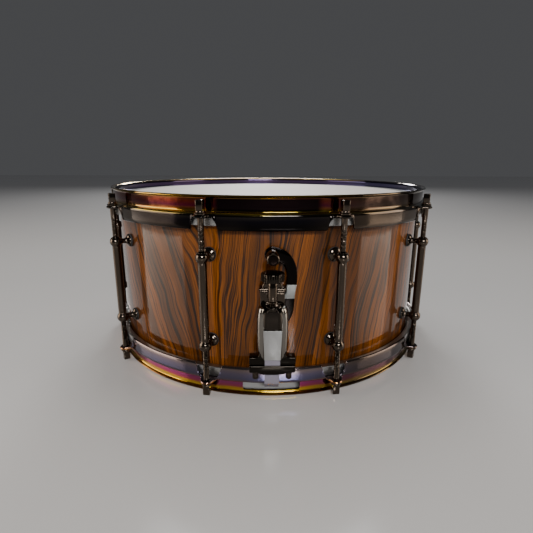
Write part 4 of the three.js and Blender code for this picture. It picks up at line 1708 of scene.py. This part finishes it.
@dataclass
class Lever:
    """The throw-off lever, with its grip and pivot pin."""

    depths: Point = (181.2, 185.2)
    pivot: float = 88.0
    grip: float = 134.0
    grip_radius: float = 5.2
    grip_end: float = 204.3

    def outline(self) -> list[Point]:
        """The lever seen from in front, from under its grip, round its hub and up its outer side.

        Returns:
            Points (x, height).
        """
        inside = [(6.0, 127.1), *bezier((6, 127.1), (14.5, 122.5), (12.2, 112), (11.9, 100.7))]
        hub = [(7.0, 94.6), *arc((0, self.pivot), 8.0, 45, 300, 28)]
        outside = [*bezier((14.4, 73.4), (20.5, 82), (18.5, 91), (20.2, 102.4)),
                   *bezier((20.2, 102.4), (24, 122), (18.5, 136), (5, 139.4))]
        return inside + hub + [(14.4, 73.4)] + outside + arc((0, self.grip), 6.6, 60, 288, 22)

    def build(self) -> None:
        """Makes the arm, the grip and the pin."""
        arm = Draft().plate(self.outline(), *self.depths, 0.8, 3)
        seat = Draft().turned([(6.3, 184.6), (6.3, 185.3), (5.9, 185.5)], 40)
        arm.join(seat, Matrix.Translation((0, self.grip, 0)))
        fix(arm, "lever_arm", Coats.LEVER, outwards(0), "throw_lever", "throw_lever")
        r, end = self.grip_radius, self.grip_end
        body = [(r - 0.6, 185.5), (r, 186.0), (r, end - 1.0), (r - 0.25, end - 0.4), (r - 0.75, end),
                (r - 1.15, end - 0.1), (r - 1.3, end - 0.5)]
        place = outwards(0, self.grip)
        barrel = Draft().turned(body, 48)
        fix(barrel, "grip_barrel", Coats.NICKEL, place, "throw_lever", "lever_grip")
        cap = Draft().turned([(r - 1.35, end - 0.6), (r - 1.35, end - 0.34), (r - 1.6, end - 0.28)], 48)
        fix(cap, "grip_end_face", Coats.SHADED_NICKEL, place, "throw_lever")
        pin = Draft().turned([(2.5, 178.3), (2.5, 188.2), (2.1, 188.6)], 32)
        fix(pin, "pivot_bar", Coats.NICKEL, outwards(0, self.pivot), "root", "lever_pivot_pin")


@dataclass
class Strainer:
    """The throw-off: housing, slider, tension knob, and the clamp that the slider carries."""

    front: float = 190.1
    housing_half: float = 10.5
    slider: Point = (190.4, 203.0)
    screw_depth: float = 195.0
    knob_radius: float = 9.9
    knob: Point = (113.7, 121.4)
    sleeve_radius: float = 4.15
    clamp: Clamp = field(default_factory=Clamp)

    def housing(self) -> None:
        """A back plate, a face over the lever's hub, and a domed head with a rounded ledge."""
        draft = Draft()
        half, front = self.housing_half, self.front
        draft.plate(rounded(rectangle(half, 52, 103.5), 1.6, 4), BASE, 180.9, 0.5)
        draft.plate(rounded(rectangle(half, 99.5, 103.6), 0.6, 3), BASE, front, 0.6)
        draft.plate(rounded(rectangle(half, 62, 101), 1.2, 4), 185.5, front, 0.7)
        draft.plate(rounded(rectangle(half + 1, 103.2, 105.6), 1.1, 5), BASE, front, 1.0, 4)
        dome = [(9, 105.2), *bezier((9, 105.2), (9.2, 109.6), (6.4, 112.4), (1.5, 112.7), 10)]
        draft.plate(mirrored(dome), BASE, front, 1.6, 5)
        fix(draft, "housing_casting", Coats.NICKEL, outwards(0), "root", "strainer_housing")

    def slider_rows(self) -> list[list[Vector]]:
        """Level sections of the slider: a hollowed front between two reeds, round sides and a flat back.

        Returns:
            A row of points for each level, from the bottom up.
        """
        halves = [(44.5, 10.2), (45.2, 10.8), (46.5, 11.3), (48.5, 12.0), (54.0, 13.0), (62.0, 13.35),
                  (70.0, 13.5), (76.0, 13.45), (82.0, 13.2), (86.0, 12.8), (89.0, 12.3), (90.8, 11.7),
                  (91.5, 11.1), (91.7, 10.4)]
        near, far = self.slider
        rows = []
        for height, half in halves:
            crown = far - 0.5 - 1.2 * smooth_step(84, 92, height) - 0.8 * smooth_step(50, 44, height)
            reed = 0.58 * half + 0.7 * smooth_step(70, 91, height)
            front = []
            for step in range(41):
                x = half * 0.94 * (1 - step / 20)
                share = max(abs(x) - reed, 0.0) / (half - reed)
                side = 4.6 * (1.0 - math.sqrt(max(1.0 - share ** 2, 0.0)))
                rib = 0.8 * math.exp(-((abs(x) - reed) / 0.8) ** 2)
                hollow = 1.3 * smooth_step(reed - 0.2, reed - 3.4, abs(x)) * smooth_step(62, 80, height)
                front.append((x, crown - side + rib - hollow - 0.5))
            right = [(half - 1.0, near), (half - 0.3, near + 0.3), (half, near + 1.0),
                     (half, crown - 7.4), (half - 0.1, crown - 5.6)]
            left = [(-x, depth) for x, depth in reversed(right)]
            rows.append([Vector((x, -depth, height)) for x, depth in right + front + left])
        return rows

    def slide(self) -> None:
        """The slider with its arch, and as pieces of their own the upper jaw and the satin facet."""
        body = Draft().loops(self.slider_rows())
        fix(self.clamp.fixed_jaw(), "clamp_upper_jaw", Coats.JAW, outwards(0), "strap_slider")
        collar = Draft().turned([(6.0, 88.6), (6.4, 89.4), (6.4, 92.2), (5.9, 92.8), (4.9, 93.0),
                                 (4.6, 92.4)], 40)
        body.join(collar, Matrix.Translation((0, -self.screw_depth, 0)))
        arch = arc((0, 87.2), 5.4, 8, 172, 18) + arc((0, 87.2), 4.3, 172, 8, 18)
        body.join(Draft().plate(arch, 198.0, 202.4, 0.35), outwards(0))
        fix(body, "slider_casting", Coats.SLIDER, Matrix.Identity(4), "strap_slider", "strainer_slider")
        facet = rounded([(6.9, 45.7), (8.0, 72.6), (-8.0, 72.6), (-6.9, 45.7)], 0.5, 3)
        plate = Draft().plate(facet, 202.2, 203.35, 0.25, 2)
        fix(plate, "slider_facet", Coats.SATIN, outwards(0), "strap_slider")

    def knob_and_screw(self) -> None:
        """The knurled knob, the sleeve under it, and the screw."""
        low, high = self.knob
        r = self.knob_radius - 0.65
        profile = [(4.0, low), (r - 0.8, low), (r, low + 0.6), (r, high - 0.9), (r - 0.3, high - 0.35),
                   (r - 0.9, high - 0.08), (r - 1.6, high), (2.6, high), (2.2, high - 0.5)]
        knob = Draft().turned(profile, 60).piece("knob_wheel", Coats.STRAINER.material())
        ridge_pattern().run(knob, Coats.STRAINER.material(), Count=30, Radius=r * MM, Rib=0.6 * MM,
                            Height=(high - low - 1.6) * MM, Middle=(0.0, 0.0, (low + high) / 2 * MM))
        place = Matrix.Translation((0, -self.screw_depth, 0))
        tie(lay(knob, place), Coats.STRAINER, "tension_knob", "tension_knob")
        s = self.sleeve_radius
        sleeve = [(2.5, 70), (2.5, 93.2), (2.6, 95.0), (3.3, 95.4), (3.9, 96.3), (s, 97.4),
                  (s, low - 0.9), (s - 0.3, low - 0.3)]
        screw = Draft().turned(sleeve, 40).piece("sleeve_and_screw", Coats.NICKEL.material())
        thread_pattern().run(screw, Coats.NICKEL.material(), Radius=2.3 * MM, Pitch=0.8 * MM,
                             Start=74 * MM, Ridge=0.32 * MM, Turns=24.0)
        tie(lay(screw, place), Coats.NICKEL, "tension_knob", "tension_screw")

    def build(self) -> None:
        """Makes the strainer, its lever and its strap."""
        self.housing()
        self.slide()
        self.knob_and_screw()
        Lever().build()
        self.clamp.fit("clamp", "strainer", 0, "strap_slider")
        for height, end, side in ((58.0, 180.4, "lower"), (106.0, 185.5, "upper")):
            mount_screw(f"strainer_screw_{side}", f"strainer_mount_screw_{side}", height, end, 0)
        Strap().build("strainer_strap", 0, "strap_slider")


def mount_screw(name: str, node: str, height: float, end: float, azimuth: float) -> None:
    """A round-headed screw that holds a fitting from inside the shell.

    Args:
        name: The piece's name.
        node: The frame's node that it stands for.
        height: The height of its axis.
        end: The depth of its tip.
        azimuth: The azimuth of its axis.
    """
    profile = [(1.0, 167.2), (1.2, 166.3), (2.9, 166.4), (3.8, 167.2), (4.0, 168.2), (4.0, 169.1),
               (2.0, 169.1), (2.0, end)]
    fix(Draft().turned(profile, 24), name, Coats.NICKEL, outwards(azimuth, height), "root", node)


@dataclass
class Butt:
    """The fixed plate that clamps the strap on the far side."""

    azimuth: float = 180.0
    clamp: Clamp = field(default_factory=Clamp)

    def build(self) -> None:
        """Makes the plate with its jaw, the loose jaw, the screws and the strap."""
        right = [(11, 44.5, 1.0), (13.5, 48, 2.0), (13.5, 76, 3.0), (10, 81, 3.0), (4, 83, 4.0)]
        outline = rounded(mirrored(right), 1.0, 4)
        draft = Draft().plate(outline, BASE, 184.0, 1.2, 4)
        arm = rounded(rectangle(11, 44.6, 58), 1.5, 4)
        draft.plate(arm, 183.0, 192.2, 1.0, 3)
        draft.join(self.clamp.fixed_jaw())
        fix(draft, "butt_casting", Coats.NICKEL, outwards(self.azimuth), "root", "butt_plate")
        self.clamp.fit("butt", "butt", self.azimuth, "root")
        for height, side in ((54.0, "lower"), (74.0, "upper")):
            mount_screw(f"butt_fixing_{side}", f"butt_mount_screw_{side}", height, 182.4, self.azimuth)
        Strap().build("butt_strap", self.azimuth, "root")


@dataclass
class SnareWires:
    """Twenty coiled wires under the snare head, soldered to a plate at each end."""

    count: int = 20
    spacing: float = 2.3
    coil_radius: float = 0.62
    wire_radius: float = 0.2
    half_length: float = 158.0
    turns: float = 118.0
    heights: Point = (6.3, 8.3)
    plate_half: float = 23.5
    plate_reach: Point = (154.0, 166.0)

    def build(self) -> None:
        """Makes the coils and the two end plates as one piece."""
        height = self.heights[0] + 0.25 + self.coil_radius + self.wire_radius
        coils = coil_pattern().run(
            empty_piece("snare_coils"), Coats.STEEL.material(), Count=self.count,
            Spacing=self.spacing * MM, Coil_Radius=self.coil_radius * MM,
            Wire_Radius=self.wire_radius * MM, Height=height * MM, Length=2 * self.half_length * MM,
            Turns=self.turns)
        tie(coils, Coats.STEEL, "snare_wires", "snare_wires")
        plates = Draft()
        outline = rounded(rectangle(self.plate_half, *self.plate_reach), 2.0, 4)
        flat = Draft().plate(outline, self.heights[0], self.heights[1], 0.35, 2)
        for turn in (Matrix.Identity(4), Matrix.Rotation(math.pi, 4, "Z")):
            plates.join(flat, turn)
        fix(plates, "snare_end_plates", Coats.BRASS, Matrix.Identity(4), "snare_wires")


# -------------------------------------------------------------------------------------------- studio


@dataclass(frozen=True)
class Lamp:
    """A soft rectangular light that faces a point."""

    name: str
    place: Place
    size: Point
    watts: float
    colour: Colour = (1.0, 1.0, 1.0)
    target: Place = (0.0, 0.0, 0.09)

    def build(self) -> None:
        """Adds the light."""
        data = bpy.data.lights.new(self.name, "AREA")
        data.shape = "RECTANGLE"
        data.size, data.size_y = self.size
        data.energy = self.watts
        data.color = self.colour
        lamp = bpy.data.objects.new(self.name, data)
        bpy.context.scene.collection.objects.link(lamp)
        lamp.location = self.place
        lamp.rotation_euler = (Vector(self.target) - lamp.location).to_track_quat("-Z", "Y").to_euler()


@dataclass
class Studio:
    """A pale floor, soft lights, and the camera."""

    floor_half: float = 6000.0
    floor_tone: Colour = (0.56, 0.555, 0.55)
    world: Colour = (0.62, 0.63, 0.66)
    world_strength: float = 0.11
    camera_place: Place = (-0.0112, -0.5092, 0.2088)
    view: Place = (0.0183, 0.967, -0.254)
    roll: float = 0.21
    lens: float = 26.79
    lamps: tuple[Lamp, ...] = (
        Lamp("front", (0.3, -2.5, 1.20), (1.0, 0.4), 62.0),
        Lamp("left_box", (-1.75, -0.28, 0.50), (1.3, 0.9), 23.0, WARM_LIGHT),
        Lamp("right_box", (1.75, -0.30, 0.50), (1.0, 0.9), 16.0, WARM_LIGHT),
        Lamp("overhead", (0.0, 0.55, 1.5), (1.0, 0.8), 8.0),
        Lamp("rear", (0.0, 2.6, 1.25), (0.8, 0.4), 40.0))

    def floor(self) -> None:
        """A wide plain floor that the drum stands on."""
        corners = rectangle(self.floor_half, -self.floor_half, self.floor_half)
        draft = Draft([Vector((x, y, 0)) for x, y in corners], [(0, 1, 2, 3)])
        material = bpy.data.materials.new("pale_floor")
        material.use_nodes = True
        shader = material.node_tree.nodes["Principled BSDF"]
        shader.inputs["Base Color"].default_value = (*self.floor_tone, 1.0)
        shader.inputs["Roughness"].default_value = 0.14
        draft.piece("floor", material)

    def camera(self) -> None:
        """Looks slightly down on the strainer's side."""
        data = bpy.data.cameras.new("camera")
        data.lens = self.lens
        data.sensor_width = 36.0
        data.clip_start = 0.01
        camera = bpy.data.objects.new("camera", data)
        bpy.context.scene.collection.objects.link(camera)
        camera.location = self.camera_place
        turn = Vector(self.view).to_track_quat("-Z", "Y").to_matrix().to_4x4()
        camera.rotation_euler = (turn @ Matrix.Rotation(math.radians(self.roll), 4, "Z")).to_euler()
        bpy.context.scene.camera = camera

    def build(self) -> None:
        """Sets up floor, world, lights and camera."""
        self.floor()
        world = bpy.data.worlds.new("room")
        bpy.context.scene.world = world
        world.use_nodes = True
        background = world.node_tree.nodes["Background"]
        background.inputs[0].default_value = (*self.world, 1.0)
        background.inputs[1].default_value = self.world_strength
        for lamp in self.lamps:
            lamp.build()
        self.camera()


# ---------------------------------------------------------------------------------------------- main


def build_drum() -> None:
    """Builds every sub-assembly."""
    Shell().build()
    Head("snare_head", Coats.SNARE_SKIN, Matrix.Identity(4)).build()
    Head("batter_head", Coats.BATTER_SKIN, turned_over()).build()
    Hoop("snare_hoop", Coats.SNARE_HOOP, Matrix.Identity(4), ear_inset=14.0, gates=True).build()
    Hoop("batter_hoop", Coats.BATTER_HOOP, turned_over(), ear_inset=16.1).build()
    TubeLugs().build()
    TensionRods().build()
    Strainer().build()
    Butt().build()
    SnareWires().build()


def main() -> None:
    """Builds the drum round its frame and sets the studio round it."""
    logging.basicConfig(level=logging.INFO, format="%(name)s: %(message)s")
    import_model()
    build_drum()
    bpy.context.view_layer.update()
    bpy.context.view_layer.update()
    Studio().build()


if __name__ == "__main__":
    main()
